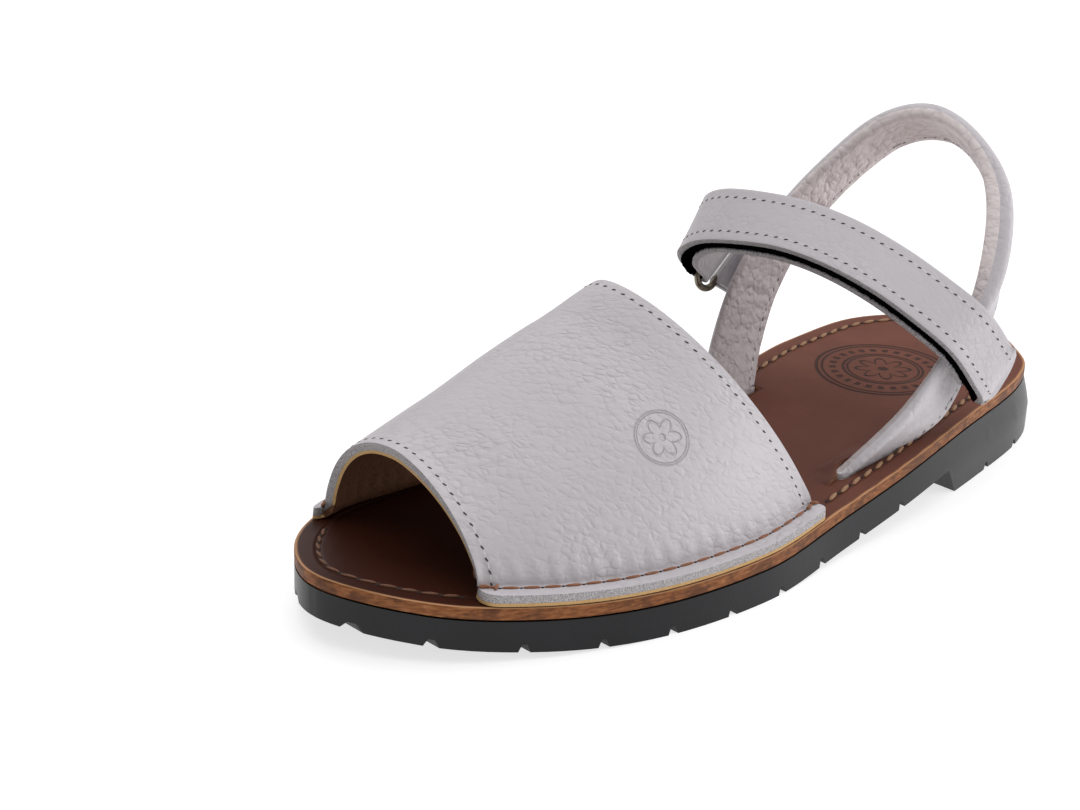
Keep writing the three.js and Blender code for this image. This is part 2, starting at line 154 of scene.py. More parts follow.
STRAP_TABLE = [
    # side, back, rise, dip
    (1.065, 0.84, 0.310, 30),
    (1.070, 0.76, 0.365, 30),
    (0.990, 0.58, 0.560, 29),
    (0.770, 0.43, 0.715, 27),
    (0.495, 0.31, 0.845, 27),
    (0.195, 0.19, 0.945, 30),
    (-0.115, 0.09, 0.995, 34),
    (-0.425, 0.02, 0.990, 41),
    (-0.700, 0.00, 0.950, 48),
    (-0.885, 0.055, 0.865, 54),
    (-0.955, 0.15, 0.765, 55),
    (-0.930, 0.255, 0.670, 53),
]


def clamp01(value):
    return min(max(value, 0.0), 1.0)


def smooth(value):
    value = clamp01(value)
    return value * value * (3 - 2 * value)


def read_table(table, t):
    """Smooth curve through every column, with t from 0 at the first row to 1 at the last."""
    last = len(table) - 1
    index = min(int(t * last), last - 1)
    f = t * last - index
    a, b, c, d = (table[min(max(index + k, 0), last)] for k in (-1, 0, 1, 2))
    return [
        q + 0.5 * f * (r - p + f * (2 * p - 5 * q + 4 * r - s + f * (3 * (q - r) + s - p)))
        for p, q, r, s in zip(a, b, c, d)
    ]


# The sole's plan and profile
def closed_curve(points, steps=40):
    """Centripetal curve through a closed list of points."""
    points = np.array(points, float)
    count = len(points)
    made = []
    for k in range(count):
        a, b, c, d = (points[(k + j) % count] for j in (-1, 0, 1, 2))
        ab, bc, cd = (math.sqrt(np.linalg.norm(q - p)) for p, q in ((a, b), (b, c), (c, d)))
        start = ((b - a) / ab - (c - a) / (ab + bc) + (c - b) / bc) * bc
        end = ((c - b) / bc - (d - b) / (bc + cd) + (d - c) / cd) * bc
        for j in range(steps):
            f = j / steps
            bend = 3 * (c - b) - 2 * start - end + f * (2 * (b - c) + start + end)
            made.append(b + f * (start + f * bend))
    return np.array(made)


OUTLINE_RING = closed_curve([(side * BALL_WIDTH, (0.5 - along) * SOLE_LENGTH) for along, side in OUTLINE])
insole_low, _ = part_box("insole")
outline_low = OUTLINE_RING.min(0)
SLIDE = Vector((insole_low.x / MM - outline_low[0], insole_low.y / MM - outline_low[1], 0))


@functools.cache
def inset_chains(inset):
    """Lateral and medial halves of the outline moved inwards, each with rising Y."""
    along = np.roll(OUTLINE_RING, -1, 0) - np.roll(OUTLINE_RING, 1, 0)
    along /= np.linalg.norm(along, axis=1)[:, None]
    ring = OUTLINE_RING + inset * np.stack([along[:, 1], -along[:, 0]], 1)
    toe, heel = int(ring[:, 1].argmin()), int(ring[:, 1].argmax())
    turned = np.roll(ring, -heel, 0)
    split = (toe - heel) % len(ring)
    lateral = turned[: split + 1][::-1]
    medial = np.concatenate([turned[split:], turned[:1]])
    return lateral, medial


def edge_x(inset, y, side):
    chain = inset_chains(inset)[0 if side > 0 else 1]
    return float(np.interp(y, chain[:, 1], chain[:, 0]))


def insole_top(y):
    along = 0.5 - y / SOLE_LENGTH
    sprung = max(0.0, (along - 0.72) / 0.28) ** 2
    base = RUBBER_THICKNESS + SEAM_GAP + INSOLE_THICKNESS
    return base + HEEL_RAISE * smooth((0.62 - along) / 0.4) + TOE_SPRING * sprung


def rubber_top(y):
    return insole_top(y) - INSOLE_THICKNESS - SEAM_GAP


def groove_places():
    places = [TOE_GROOVE_Y]
    y = FRONT_GROOVE_Y
    while y < HEEL_BREAST_Y - GROOVE_PITCH:
        places.append(y)
        y += GROOVE_PITCH
    y = HEEL_BREAST_Y + BREAST_SLOPE + HEEL_GROOVE_PITCH
    while y < 0.47 * SOLE_LENGTH:
        places.append(y)
        y += HEEL_GROOVE_PITCH
    return places


def rubber_bottom(y):
    lift = 0.0
    for groove in groove_places():
        reach = abs(y - groove)
        lift = max(lift, GROOVE_DEPTH * clamp01((GROOVE_WIDTH / 2 - reach) / (0.3 * GROOVE_WIDTH)))
    arch = rubber_top(y) - RUBBER_THICKNESS
    under = arch * (1 - clamp01((y - HEEL_BREAST_Y) / BREAST_SLOPE))
    return under + lift


def sole_rows(step, extra=()):
    """Y of the rows across the sole, closer together at the round ends."""
    low, high = OUTLINE_RING[:, 1].min(), OUTLINE_RING[:, 1].max()
    ends = [0.05, 0.2, 0.5, 0.9, 1.4, 2.0, 2.8, 3.8, 5.0, 6.5, 8.4]
    rows = [low + e for e in ends] + [high - e for e in ends] + list(extra)
    middle = high - low - 2 * ends[-1]
    count = int(middle / step)
    for k in range(1, count):
        y = low + ends[-1] + middle * k / count
        if all(abs(y - kept) > 0.45 * step for kept in rows):
            rows.append(y)
    return sorted(rows)


# Mesh helpers
def to_row(point):
    return (Vector(point) + SLIDE) * MM


def from_row(vert):
    """A vertex's place in the part's own millimetres."""
    return vert.co / MM - SLIDE


def new_object(name, bm, materials, smooth_angle=180):
    mesh = bpy.data.meshes.new(name)
    bm.to_mesh(mesh)
    bm.free()
    for material in materials:
        mesh.materials.append(material)
    mesh.shade_smooth()
    if smooth_angle:
        mesh.set_sharp_from_angle(angle=math.radians(smooth_angle))
    piece = bpy.data.objects.new(name, mesh)
    bpy.context.scene.collection.objects.link(piece)
    return piece


def grid(rows, columns, place, paint=None, mark=None):
    """A sheet: bmesh's grid with place(row, column), in millimetres, for each of its points."""
    bm = bmesh.new()
    surface = bm.verts.layers.float_vector.new("surface") if mark else None
    bmesh.ops.create_grid(bm, x_segments=columns, y_segments=rows, size=0.5)
    if paint:
        for face in bm.faces:
            middle = face.calc_center_median()
            face.material_index = paint(int((middle.x + 0.5) * columns))
    for vert in bm.verts:
        row, column = round((vert.co.y + 0.5) * rows), round((vert.co.x + 0.5) * columns)
        vert.co = to_row(place(row, column))
        if mark:
            vert[surface] = mark(row, column)
    bm.normal_update()
    return bm


def close_up(bm, reach=0.01):
    """Welds a sheet's seams, fills its open ends and turns its faces outwards."""
    bmesh.ops.remove_doubles(bm, verts=bm.verts, dist=reach * MM)
    bmesh.ops.holes_fill(bm, edges=[e for e in bm.edges if e.is_boundary])
    bmesh.ops.recalc_face_normals(bm, faces=bm.faces)


def face_up(bm):
    """Turns a sheet over if its highest face looks down."""
    if max(bm.faces, key=lambda f: f.calc_center_median().z).normal.z < 0:
        bmesh.ops.reverse_faces(bm, faces=bm.faces)
        bm.normal_update()


def add_wall(piece, thickness, rim_material=0, inner_material=0, offset=0.0, even=True):
    wall = piece.modifiers.new("wall", "SOLIDIFY")
    wall.thickness = thickness * MM
    wall.offset = offset
    wall.use_even_offset = even
    wall.material_offset = inner_material
    wall.material_offset_rim = rim_material


def add_bevel(piece, width, segments=2, angle=50):
    edge = piece.modifiers.new("edges", "BEVEL")
    edge.width = width * MM
    edge.segments = segments
    edge.limit_method = "ANGLE"
    edge.angle_limit = math.radians(angle)


def keep_shape(piece):
    """Applies the modifiers and removes the cutters."""
    cutters = [m.object for m in piece.modifiers if m.type == "BOOLEAN"]
    depsgraph = bpy.context.evaluated_depsgraph_get()
    mesh = bpy.data.meshes.new_from_object(piece.evaluated_get(depsgraph))
    old = piece.data
    piece.modifiers.clear()
    piece.data = mesh
    mesh.name = piece.name
    bpy.data.meshes.remove(old)
    for cutter in cutters:
        bpy.data.objects.remove(cutter)


def rides(piece, node=None):
    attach(piece, "root")
    if node:
        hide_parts(node)


# Shading helpers
def feed(tree, made, values):
    """Sets a node's inputs, or links them where the value is another node's output."""
    for title, value in values.items():
        if isinstance(value, bpy.types.NodeSocket):
            tree.links.new(value, made.inputs[title])
        else:
            made.inputs[title].default_value = value


def node(tree, kind, values=None, **options):
    made = tree.nodes.new("ShaderNode" + kind)
    for key, value in options.items():
        setattr(made, key, value)
    feed(tree, made, values or {})
    return made


def new_material(name):
    material = bpy.data.materials.new(name)
    material.use_nodes = True
    tree = material.node_tree
    return material, tree, tree.nodes["Principled BSDF"]


def calc(tree, operation, *values, clamp=False):
    return node(tree, "Math", dict(enumerate(values)), operation=operation, use_clamp=clamp).outputs[0]


def highest(tree, top, *others):
    for value in others:
        top = calc(tree, "MAXIMUM", top, value)
    return top


def srgb(levels):
    """Linear colour, with its alpha, from an 8-bit screen colour."""
    return (*[c / 255 / 12.92 if c <= 10 else ((c / 255 + 0.055) / 1.055) ** 2.4 for c in levels], 1)


def mix_colour(tree, factor, first, second):
    return node(tree, "Mix", {0: factor, 6: first, 7: second}, data_type="RGBA").outputs[2]


def stain_and_painted_light(tree, tone, mask, share, colour):
    """A screen colour laid over a tone, by its share where the mask is 1: real marks, and also painted shade
    and highlights.
    """
    return mix_colour(tree, calc(tree, "MULTIPLY", mask, share), tone, srgb(colour))


def ramp(tree, value, *stops):
    """A ramp through stops of (place, screen colour)."""
    made = node(tree, "ValToRGB", {0: value})
    elements = made.color_ramp.elements
    while len(elements) < len(stops):
        elements.new(0.5)
    for element, (place, colour) in zip(elements, stops):
        element.position = place
        element.color = srgb(colour)
    return made.outputs[0]


def noise_at(tree, vector, scale, detail=3.0, roughness=0.5, distortion=0.0):
    values = {"Vector": vector, "Scale": scale, "Detail": detail, "Roughness": roughness}
    return node(tree, "TexNoise", {**values, "Distortion": distortion}).outputs["Fac"]


def passage(tree, value, low, high):
    """0 where value is low and 1 where it is high, with a smooth passage between."""
    values = {"Value": value, "From Min": low, "From Max": high}
    return node(tree, "MapRange", values, interpolation_type="SMOOTHSTEP").outputs[0]


def mask_line(tree, value, centre, half, soft):
    """1 where value lies within half of centre, with soft shoulders."""
    away = calc(tree, "ABSOLUTE", calc(tree, "SUBTRACT", value, centre))
    return passage(tree, away, half + soft, half)


def bump(tree, height, distance):
    return node(tree, "Bump", {"Height": height, "Distance": distance * MM, "Strength": 1.0}).outputs[0]


def split(tree, vector):
    return node(tree, "SeparateXYZ", {0: vector}).outputs


def millimetres(tree, offset=(0, 0, 0), turn=(0, 0, 0), stretch=(1, 1, 1)):
    """Object coordinates in millimetres."""
    source = node(tree, "TexCoord").outputs["Object"]
    values = {"Vector": source, "Location": offset, "Rotation": turn, "Scale": [s / MM for s in stretch]}
    return node(tree, "Mapping", values).outputs[0]


def drawn_millimetres(tree, stretch, flat):
    """Millimetres of the part, or of a flat sheet, turned about Z and then stretched."""
    source, degrees, unit = node(tree, "TexCoord").outputs["Object"], 40, MM
    if flat:
        source, degrees, unit = node(tree, "Attribute", attribute_name="surface").outputs["Vector"], 45, 1
    turn = (0, 0, math.radians(degrees))
    values = {"Vector": source, "Rotation": turn, "Scale": [unit / s for s in stretch]}
    return node(tree, "Mapping", values, vector_type="TEXTURE").outputs[0]


def framed_millimetres(tree, centre, axes):
    """Coordinates in millimetres from a point of the part, along its own three axes."""
    turn = Matrix(axes)
    away = turn @ (Vector(centre) + SLIDE)
    return millimetres(tree, -away, turn.to_euler())


def new_group(name, floats, results):
    """A node group with a vector input, float inputs with their usual values, and float outputs."""
    group = bpy.data.node_groups.new(name, "ShaderNodeTree")
    group.interface.new_socket("Vector", in_out="INPUT", socket_type="NodeSocketVector")
    for title, value in floats.items():
        socket = group.interface.new_socket(title, in_out="INPUT", socket_type="NodeSocketFloat")
        socket.default_value = value
    for title in results:
        group.interface.new_socket(title, in_out="OUTPUT", socket_type="NodeSocketFloat")
    return group, group.nodes.new("NodeGroupInput").outputs, group.nodes.new("NodeGroupOutput")


def pebble_group():
    """Grain of two sizes: rounded pebbles parted by thin broken creases, deeper in some patches."""
    usual = {"Pebble Scale": 0.4, "Evenness": 0.4}
    group, given, made = new_group("pebbled grain", usual, ["Height", "Crease"])
    vector = given["Vector"]
    warp = node(group, "TexNoise", {"Vector": vector, "Scale": 0.3, "Detail": 2}).outputs["Color"]
    shift = node(group, "VectorMath", {0: warp, 1: (1.3, 1.3, 1.3), 2: vector}, operation="MULTIPLY_ADD")
    height = 0.0
    for factor, weight in ((1.0, 1.0), (2.3, 0.2)):
        cells = {"Vector": shift.outputs[0], "Scale": calc(group, "MULTIPLY", given["Pebble Scale"], factor)}
        edges = node(group, "TexVoronoi", cells, feature="DISTANCE_TO_EDGE")
        domes = node(group, "TexVoronoi", {**cells, "Smoothness": 0.3}, feature="SMOOTH_F1")
        broken = passage(group, noise_at(group, vector, 0.28 * factor, 2), 0.38, 0.6)
        valley = calc(group, "MULTIPLY", mask_line(group, edges.outputs["Distance"], 0.0, 0.0, 0.3), broken)
        bulge = calc(group, "POWER", domes.outputs["Distance"], 1.6)
        sunk = calc(group, "MULTIPLY_ADD", bulge, 0.6, calc(group, "MULTIPLY", valley, 0.5))
        height = calc(group, "MULTIPLY_ADD", sunk, -weight, height)
    values = {"Value": noise_at(group, vector, 0.03, 2), "From Min": 0.38, "From Max": 0.62}
    patches = node(group, "MapRange", {**values, "To Min": given["Evenness"]}).outputs[0]
    height = calc(group, "MULTIPLY", height, patches)
    crease = calc(group, "MULTIPLY_ADD", height, -1.0, -0.2, clamp=True)
    pores = noise_at(group, vector, 3.0, 3, 0.6)
    feed(group, made, {"Height": calc(group, "MULTIPLY_ADD", pores, 0.1, height), "Crease": crease})
    return group


def rosette_group():
    """A pressed round ornament: rings, a ring of dots and a flower."""
    usual = {"Radius": 14.0, "Petals": 8.0, "Flower": 1.0, "Beads": 1.0}
    group, given, made = new_group("pressed rosette", usual, ["Pressed"])
    x, y, _ = split(group, given["Vector"])
    square = calc(group, "ADD", calc(group, "MULTIPLY", x, x), calc(group, "MULTIPLY", y, y))
    reach = calc(group, "DIVIDE", calc(group, "SQRT", square), given["Radius"])
    angle = calc(group, "ARCTAN2", y, x)

    def ring(place, half, soft=0.02):
        return mask_line(group, reach, place, half, soft)

    dots = mask_line(group, calc(group, "COSINE", calc(group, "MULTIPLY", angle, 26.0)), 1.0, 0.6, 0.5)
    dots = calc(group, "MULTIPLY", ring(0.735, 0.03, 0.04), dots)
    beads = highest(group, ring(0.58, 0.008), ring(0.52, 0.004), dots)
    beads = calc(group, "MULTIPLY", beads, given["Beads"])
    near = calc(group, "DIVIDE", reach, given["Flower"])
    wave = calc(group, "ABSOLUTE", calc(group, "COSINE", calc(group, "MULTIPLY", angle, given["Petals"])))
    petals = calc(group, "SUBTRACT", near, calc(group, "MULTIPLY_ADD", wave, 0.2, 0.2))
    petals = mask_line(group, petals, 0.0, 0.012, 0.025)
    heart = mask_line(group, near, 0.0, 0.06, 0.03)
    pressed = highest(group, ring(0.97, 0.012), ring(0.89, 0.006), beads, petals, heart)
    feed(group, made, {"Pressed": pressed})
    return group


PEBBLES = pebble_group()
ROSETTE = rosette_group()
STAMP_AT = (1.0, 73.0)
STAMP_RADIUS = 19.5


# Materials
def white_leather(name, pebble_scale, evenness, depth, stretch=(1, 1, 1), folds=0.0, stamp=None,
                  tint=(184, 179, 183), low_painted_shade=None, flat=False):
    material, tree, shader = new_material(name)
    place = drawn_millimetres(tree, stretch, flat)
    values = {"Vector": place, "Pebble Scale": pebble_scale, "Evenness": evenness}
    grain = node(tree, "Group", values, node_tree=PEBBLES)
    height, crease = grain.outputs["Height"], grain.outputs["Crease"]
    shade = ramp(tree, noise_at(tree, place, 0.03), (0.35, tint), (0.7, [c + 5 for c in tint]))
    # Painted shade: the grain's creases are darkened in colour.
    shade = stain_and_painted_light(tree, shade, crease, 0.22, (160, 148, 150))
    # Painted shade: darker towards the bottom, fully below 44 mm and none above 72 mm.
    if low_painted_shade:
        low = passage(tree, split(tree, millimetres(tree))[2], 72.0, 44.0)
        shade = stain_and_painted_light(tree, shade, low, 1.0, low_painted_shade)
    if folds:
        height = calc(tree, "MULTIPLY_ADD", noise_at(tree, place, 0.22, 2, 0.5, 0.8), folds, height)
    if stamp:
        spot = framed_millimetres(tree, stamp[0], stamp[1])
        values = {"Vector": spot, "Radius": stamp[2], "Petals": 3.0, "Flower": 1.7, "Beads": 0.0}
        pressed = node(tree, "Group", values, node_tree=ROSETTE).outputs[0]
        height = calc(tree, "MULTIPLY_ADD", pressed, -1.1, height)
        shade = stain_and_painted_light(tree, shade, pressed, 0.35, (150, 146, 148))
    feed(tree, shader, {"Base Color": shade, "Roughness": calc(tree, "MULTIPLY_ADD", crease, 0.12, 0.44),
                        "Specular IOR Level": 0.4, "Normal": bump(tree, height, depth)})
    return material


def plain_leather(name, low, high, roughness, depth, scale):
    """Soft mottled surface for cut edges, linings and threads."""
    material, tree, shader = new_material(name)
    fine = noise_at(tree, millimetres(tree), scale, 4, 0.6)
    feed(tree, shader, {"Base Color": ramp(tree, fine, (0.3, low), (0.72, high)), "Roughness": roughness,
                        "Normal": bump(tree, fine, depth)})
    return material


def insole_leather():
    material, tree, shader = new_material("insole leather")
    place = millimetres(tree)
    cloud = noise_at(tree, place, 0.045, 4, 0.6)
    fine = noise_at(tree, place, 1.1, 4, 0.6)
    # Painted shade: the toe end is far darker than the heel, as if shaded by the vamp, with a passage along
    # Y between them.
    heel = ramp(tree, cloud, (0.3, (100, 57, 44)), (0.72, (116, 69, 54)))
    toe = ramp(tree, cloud, (0.3, (42, 14, 5)), (0.72, (56, 21, 9)))
    tone = mix_colour(tree, passage(tree, split(tree, place)[1], -80.0, 60.0), toe, heel)
    tone = stain_and_painted_light(tree, tone, fine, 0.2, (64, 36, 28))
    spot = millimetres(tree, (-(STAMP_AT[0] + SLIDE.x), -(STAMP_AT[1] + SLIDE.y), 0))
    values = {"Vector": spot, "Radius": STAMP_RADIUS, "Petals": 4.0}
    stamp = node(tree, "Group", values, node_tree=ROSETTE).outputs[0]
    tone = stain_and_painted_light(tree, tone, stamp, 0.8, (40, 20, 14))
    rim = node(tree, "Attribute", attribute_name="edge_distance").outputs["Fac"]
    channel = mask_line(tree, rim, INSOLE_SEAM_INSET, 0.3, 0.9)
    tone = stain_and_painted_light(tree, tone, channel, 0.35, (60, 36, 28))
    # Painted highlight: a light band along the board's top edge.
    tone = stain_and_painted_light(tree, tone, mask_line(tree, rim, 0.0, 0.4, 0.7), 0.8, (188, 140, 100))
    height = calc(tree, "MULTIPLY_ADD", stamp, -1.0, calc(tree, "MULTIPLY", fine, 0.12))
    height = calc(tree, "MULTIPLY_ADD", channel, -0.8, height)
    feed(tree, shader, {"Base Color": tone, "Roughness": 0.45, "Specular IOR Level": 0.15,
                        "Coat Weight": 0.04, "Coat Roughness": 0.25, "Normal": bump(tree, height, 0.35)})
    return material


def insole_edge():
    material, tree, shader = new_material("insole edge")
    streak = noise_at(tree, millimetres(tree, stretch=(0.35, 0.35, 1.6)), 0.9, 5, 0.65)
    tone = ramp(tree, streak, (0.25, (70, 36, 14)), (0.52, (132, 78, 38)), (0.8, (172, 118, 74)))
    blot = passage(tree, noise_at(tree, millimetres(tree), 0.16, 4, 0.6), 0.45, 0.62)
    tone = stain_and_painted_light(tree, tone, blot, 0.65, (70, 36, 16))
    feed(tree, shader, {"Base Color": tone, "Roughness": 0.55, "Specular IOR Level": 0.25,
                        "Normal": bump(tree, streak, 0.12)})
    return material


def sole_rubber():
    material, tree, shader = new_material("sole rubber")
    place = millimetres(tree)
    fine = noise_at(tree, place, 2.2, 4, 0.6)
    tone = ramp(tree, noise_at(tree, place, 0.06), (0.3, (9, 10, 13)), (0.7, (15, 16, 20)))
    tone = stain_and_painted_light(tree, tone, fine, 0.12, (60, 60, 64))
    feed(tree, shader, {"Base Color": tone, "Roughness": calc(tree, "MULTIPLY_ADD", fine, 0.16, 0.26),
                        "Specular IOR Level": 0.3, "Normal": bump(tree, fine, 0.05)})
    return material


def pile_fabric():
    material, tree, shader = new_material("hook and loop pile")
    fibre = noise_at(tree, millimetres(tree), 3.2, 5, 0.75, 0.8)
    feed(tree, shader, {"Base Color": ramp(tree, fibre, (0.35, (2, 2, 3)), (0.85, (13, 14, 18))),
                        "Roughness": 0.95, "Specular IOR Level": 0.0, "Normal": bump(tree, fibre, 0.5)})
    return material


def aged_metal():
    material, tree, shader = new_material("ring metal")
    cloud = noise_at(tree, millimetres(tree), 0.7, 4, 0.6)
    feed(tree, shader, {"Base Color": ramp(tree, cloud, (0.3, (84, 76, 66)), (0.7, (150, 140, 124))),
                        "Metallic": 1.0, "Roughness": calc(tree, "MULTIPLY_ADD", cloud, 0.25, 0.2),
                        "Normal": bump(tree, cloud, 0.03)})
    return material


leather_strap = white_leather("strap leather", 0.5, 0.2, 0.14, tint=(180, 175, 179))
leather_sling = white_leather("slingback leather", 0.45, 0.35, 0.2, folds=0.5)
# The inner face is a lighter copy of the slingback leather (painted light), darkened towards the insole by
# painted shade.
leather_sling_inner = white_leather("slingback inner leather", 0.36, 0.8, 0.36, folds=1.0,
                                    tint=(220, 209, 209), low_painted_shade=(170, 159, 160))
cut_edge = plain_leather("cut edge", (128, 123, 125), (206, 202, 204), 1.0, 0.4, 2.6)
lining = plain_leather("brown lining", (84, 50, 30), (124, 80, 50), 0.7, 0.06, 1.4)
lining_edge = plain_leather("lining edge", (176, 136, 84), (206, 170, 118), 0.8, 0.08, 2.4)
tan_thread = plain_leather("tan thread", (122, 88, 62), (164, 126, 94), 0.7, 0.05, 3.0)
orange_thread = plain_leather("orange thread", (112, 66, 40), (150, 96, 62), 0.65, 0.05, 3.0)
# A darker copy of the tan thread, for the toe stitches: painted shade at the toe.
toe_thread_shaded = plain_leather("toe thread in painted shade", (78, 46, 30), (124, 82, 56), 0.7, 0.05, 3.0)
white_thread = plain_leather("white thread", (186, 182, 184), (216, 212, 214), 0.7, 0.04, 3.0)
slit_wall = plain_leather("slit wall", (58, 30, 14), (124, 76, 40), 0.8, 0.15, 1.6)
# The needle holes are flattened dark beads on the surface: their dark colour is painted shade inside the
# holes.
needle_mark = plain_leather("needle mark", (92, 84, 84), (128, 120, 120), 0.9, 0.02, 3.0)
needle_hole = plain_leather("needle hole", (46, 40, 40), (84, 78, 78), 0.9, 0.02, 3.0)
brown_hole = plain_leather("brown needle hole", (26, 14, 10), (42, 24, 17), 0.9, 0.02, 3.0)
top_leather = insole_leather()
edge_leather = insole_edge()
rubber = sole_rubber()
pile = pile_fabric()
metal = aged_metal()


# Outsole and insole
def sole_solid(rows, columns, top, bottom, cuts):
    """Closed slab between two heights, with the sole's outline and extra rows of points down its side."""
    def place(row, column):
        y = rows[row]
        medial, lateral = edge_x(0.0, y, -1), edge_x(0.0, y, 1)
        return medial + (lateral - medial) * column / columns, y, top(y)

    bm = grid(len(rows) - 1, columns, place)
    made = bmesh.ops.extrude_face_region(bm, geom=bm.faces[:])
    below = {g for g in made["geom"] if isinstance(g, bmesh.types.BMVert)}
    for vert in below:
        vert.co.z = bottom(from_row(vert).y) * MM
    walls = [e for e in bm.edges if (e.verts[0] in below) != (e.verts[1] in below)]
    bmesh.ops.subdivide_edges(bm, edges=walls, cuts=cuts, use_grid_fill=True)
    bmesh.ops.recalc_face_normals(bm, faces=bm.faces)
    return bm


def make_outsole():
    marks = [HEEL_BREAST_Y, HEEL_BREAST_Y + BREAST_SLOPE]
    for y in groove_places():
        marks += [y + GROOVE_WIDTH * share for share in (-0.5, -0.2, 0.2, 0.5)]
    bm = sole_solid(sole_rows(3.0, marks), 24, rubber_top, rubber_bottom, 5)
    for vert in bm.verts:
        x, y, z = from_row(vert)
        depth = clamp01((rubber_top(y) - z) / RUBBER_THICKNESS)
        along = 0.5 - y / SOLE_LENGTH
        flare = SOLE_FLARE * depth * (1 + 0.7 * smooth((0.3 - along) / 0.3) - smooth((along - 0.78) / 0.22))
        vert.co = to_row((x * (1 + 2 * flare / BALL_WIDTH), y * (1 + 2 * flare / SOLE_LENGTH), z))
    piece = new_object("outsole_rubber", bm, [rubber], 45)
    add_bevel(piece, 0.35, 2, 45)
    rides(piece, "outsole")


def ring_distance(x, y):
    """Distance from a point to the insole's outline, in millimetres."""
    return float(np.sqrt(((OUTLINE_RING - (x, y)) ** 2).sum(1)).min())


SLIT_LIP = 0.3
SLIT_GAP = 0.8


def slit_swell(foot, x, y):
    """How far the board is pushed up beside a slit: 1 at its lips, 0 a few millimetres away."""
    centre, _, _, _, width, _ = sling_frame(foot)
    beyond_y = max(abs(y - centre.y) - 0.5 * width, 0)
    beyond_x = max(abs(x - centre.x) - 1.2, 0)
    return math.exp(-(beyond_x ** 2 + beyond_y ** 2) / 7.0)


def make_insole():
    bm = sole_solid(sole_rows(1.6), 56, insole_top, lambda y: insole_top(y) - INSOLE_THICKNESS, 2)
    layer = bm.verts.layers.float.new("edge_distance")
    for face in bm.faces:
        face.material_index = 1 if abs(face.normal.z) < 0.6 else 0
    for vert in bm.verts:
        x, y, z = from_row(vert)
        vert[layer] = ring_distance(x, y)
        if z > insole_top(y) - 0.1:
            vert.co.z += SLIT_LIP * MM * (slit_swell(0.0, x, y) + slit_swell(1.0, x, y))
    rim = [e for e in bm.edges if len(e.link_faces) == 2
           and e.link_faces[0].material_index != e.link_faces[1].material_index]
    bmesh.ops.bevel(bm, geom=rim, offset=0.45 * MM, segments=2, profile=0.5, affect="EDGES", material=-1)
    piece = new_object("insole_board", bm, [top_leather, edge_leather], 50)
    for foot in (0.0, 1.0):
        hole = piece.modifiers.new("slit", "BOOLEAN")
        hole.operation = "DIFFERENCE"
        hole.object = leg_cutter(foot)
        hole.solver = "EXACT"
        hole.material_mode = "TRANSFER"
    keep_shape(piece)
    rides(piece, "insole")


# The slit lip's section: medial shift, share of the lip's height, and drop
LIP_SECTION = [
    (0.0, -1.0, 0.0), (0.0, 0.5, 0.0), (-0.25, 0.9, 0.0), (-0.6, 1.0, 0.0), (-1.4, 0.93, 0.0),
    (-2.4, 0.72, 0.0), (-3.6, 0.42, 0.0), (-4.8, 0.18, 0.0), (-6.2, 0.02, -0.02), (-7.2, 0.0, -0.3),
]


def make_slit_lip():
    """The board's medial lip beside the near leg, pushed up so that its cut wall shows above the leg."""
    centre, _, _, _, width, fold = sling_frame(1.0)
    start = centre.y - 0.5 * width - 4.5
    rows, reach = 34, 23.0

    def place(row, column):
        y = start + reach * row / rows
        share = clamp01((y - centre.y) / width + 0.5)
        wall = centre.x - (section_half(share, fold) + 0.5) * smooth((y - start) / 4.5)
        height = 2.9 * math.sin(math.pi * (row / rows) ** 0.75)
        out, up, drop = LIP_SECTION[column]
        rise = -1.0 if column == 0 else up * height + drop
        return Vector((wall + 0.15 * height + out, y, insole_top(y) + rise))

    bm = grid(rows, len(LIP_SECTION) - 1, place, lambda column: 1 if column < 2 else 0)
    layer = bm.verts.layers.float.new("edge_distance")
    for vert in bm.verts:
        vert[layer] = 20.0
    face_up(bm)
    piece = new_object("slit_lip", bm, [top_leather, slit_wall], 50)
    rides(piece)


# Slingback
@functools.cache
def sling_frame(t):
    def place(share):
        side, back, rise = read_table(SLING_TABLE, clamp01(share))[:3]
        return Vector((SLING_CENTRE_X + side * SLING_HALF_SPAN, SLIT_Y + back * SLING_REACH,
                       insole_top(SLIT_Y) + rise * SLING_RISE))

    dip, lean, width, fold = read_table(SLING_TABLE, t)[3:]
    along = (place(t + 0.01) - place(t - 0.01)).normalized()
    across = Vector((lean, math.cos(math.radians(dip)), -math.sin(math.radians(dip)))).normalized()
    return place(t), along, across, along.cross(across).normalized(), SLING_WIDTH * width, FOLD_ROLL * fold


def section_half(share, fold):
    shares, roll, wall = zip(*SLING_SECTION)
    return float(np.interp(share, shares, roll) * fold + np.interp(share, shares, wall) * SLING_WALL) / 2


def sling_point(t, share, side):
    """Point on the band: t round the heel, share across its width, side outer (+1) or inner (-1)."""
    centre, _, across, outward, width, fold = sling_frame(t)
    point = centre + across * ((share - 0.5) * width) + outward * (side * section_half(share, fold))
    point.z = max(point.z, insole_top(point.y) + SEAM_GAP)
    return point


def foot_point(t, share, side, drop, extra=0.0):
    """Point on a leg where it runs straight down into its slit."""
    centre, _, _, _, width, fold = sling_frame(t)
    outward = Vector((-1.0 if t < 0.5 else 1.0, 0, 0))
    across = Vector((0.08 * (0.3 if t < 0.5 else 1.0), 1, 0)).normalized()
    stretch = (share - 0.5) * (width + 2 * extra)
    point = centre + across * stretch + outward * (side * (section_half(share, fold) + extra))
    point.z = insole_top(point.y) + drop
    return point


# Share and side of each column: out along the outer face, back along the inner one, closed at the sewn edge
SECTION_SHARES = [row[0] for row in SLING_SECTION]
SECTION_LOOP = [(s, 1) for s in SECTION_SHARES[::-1]] + [(s, -1) for s in SECTION_SHARES[1:]] + [(1.0, 1)]


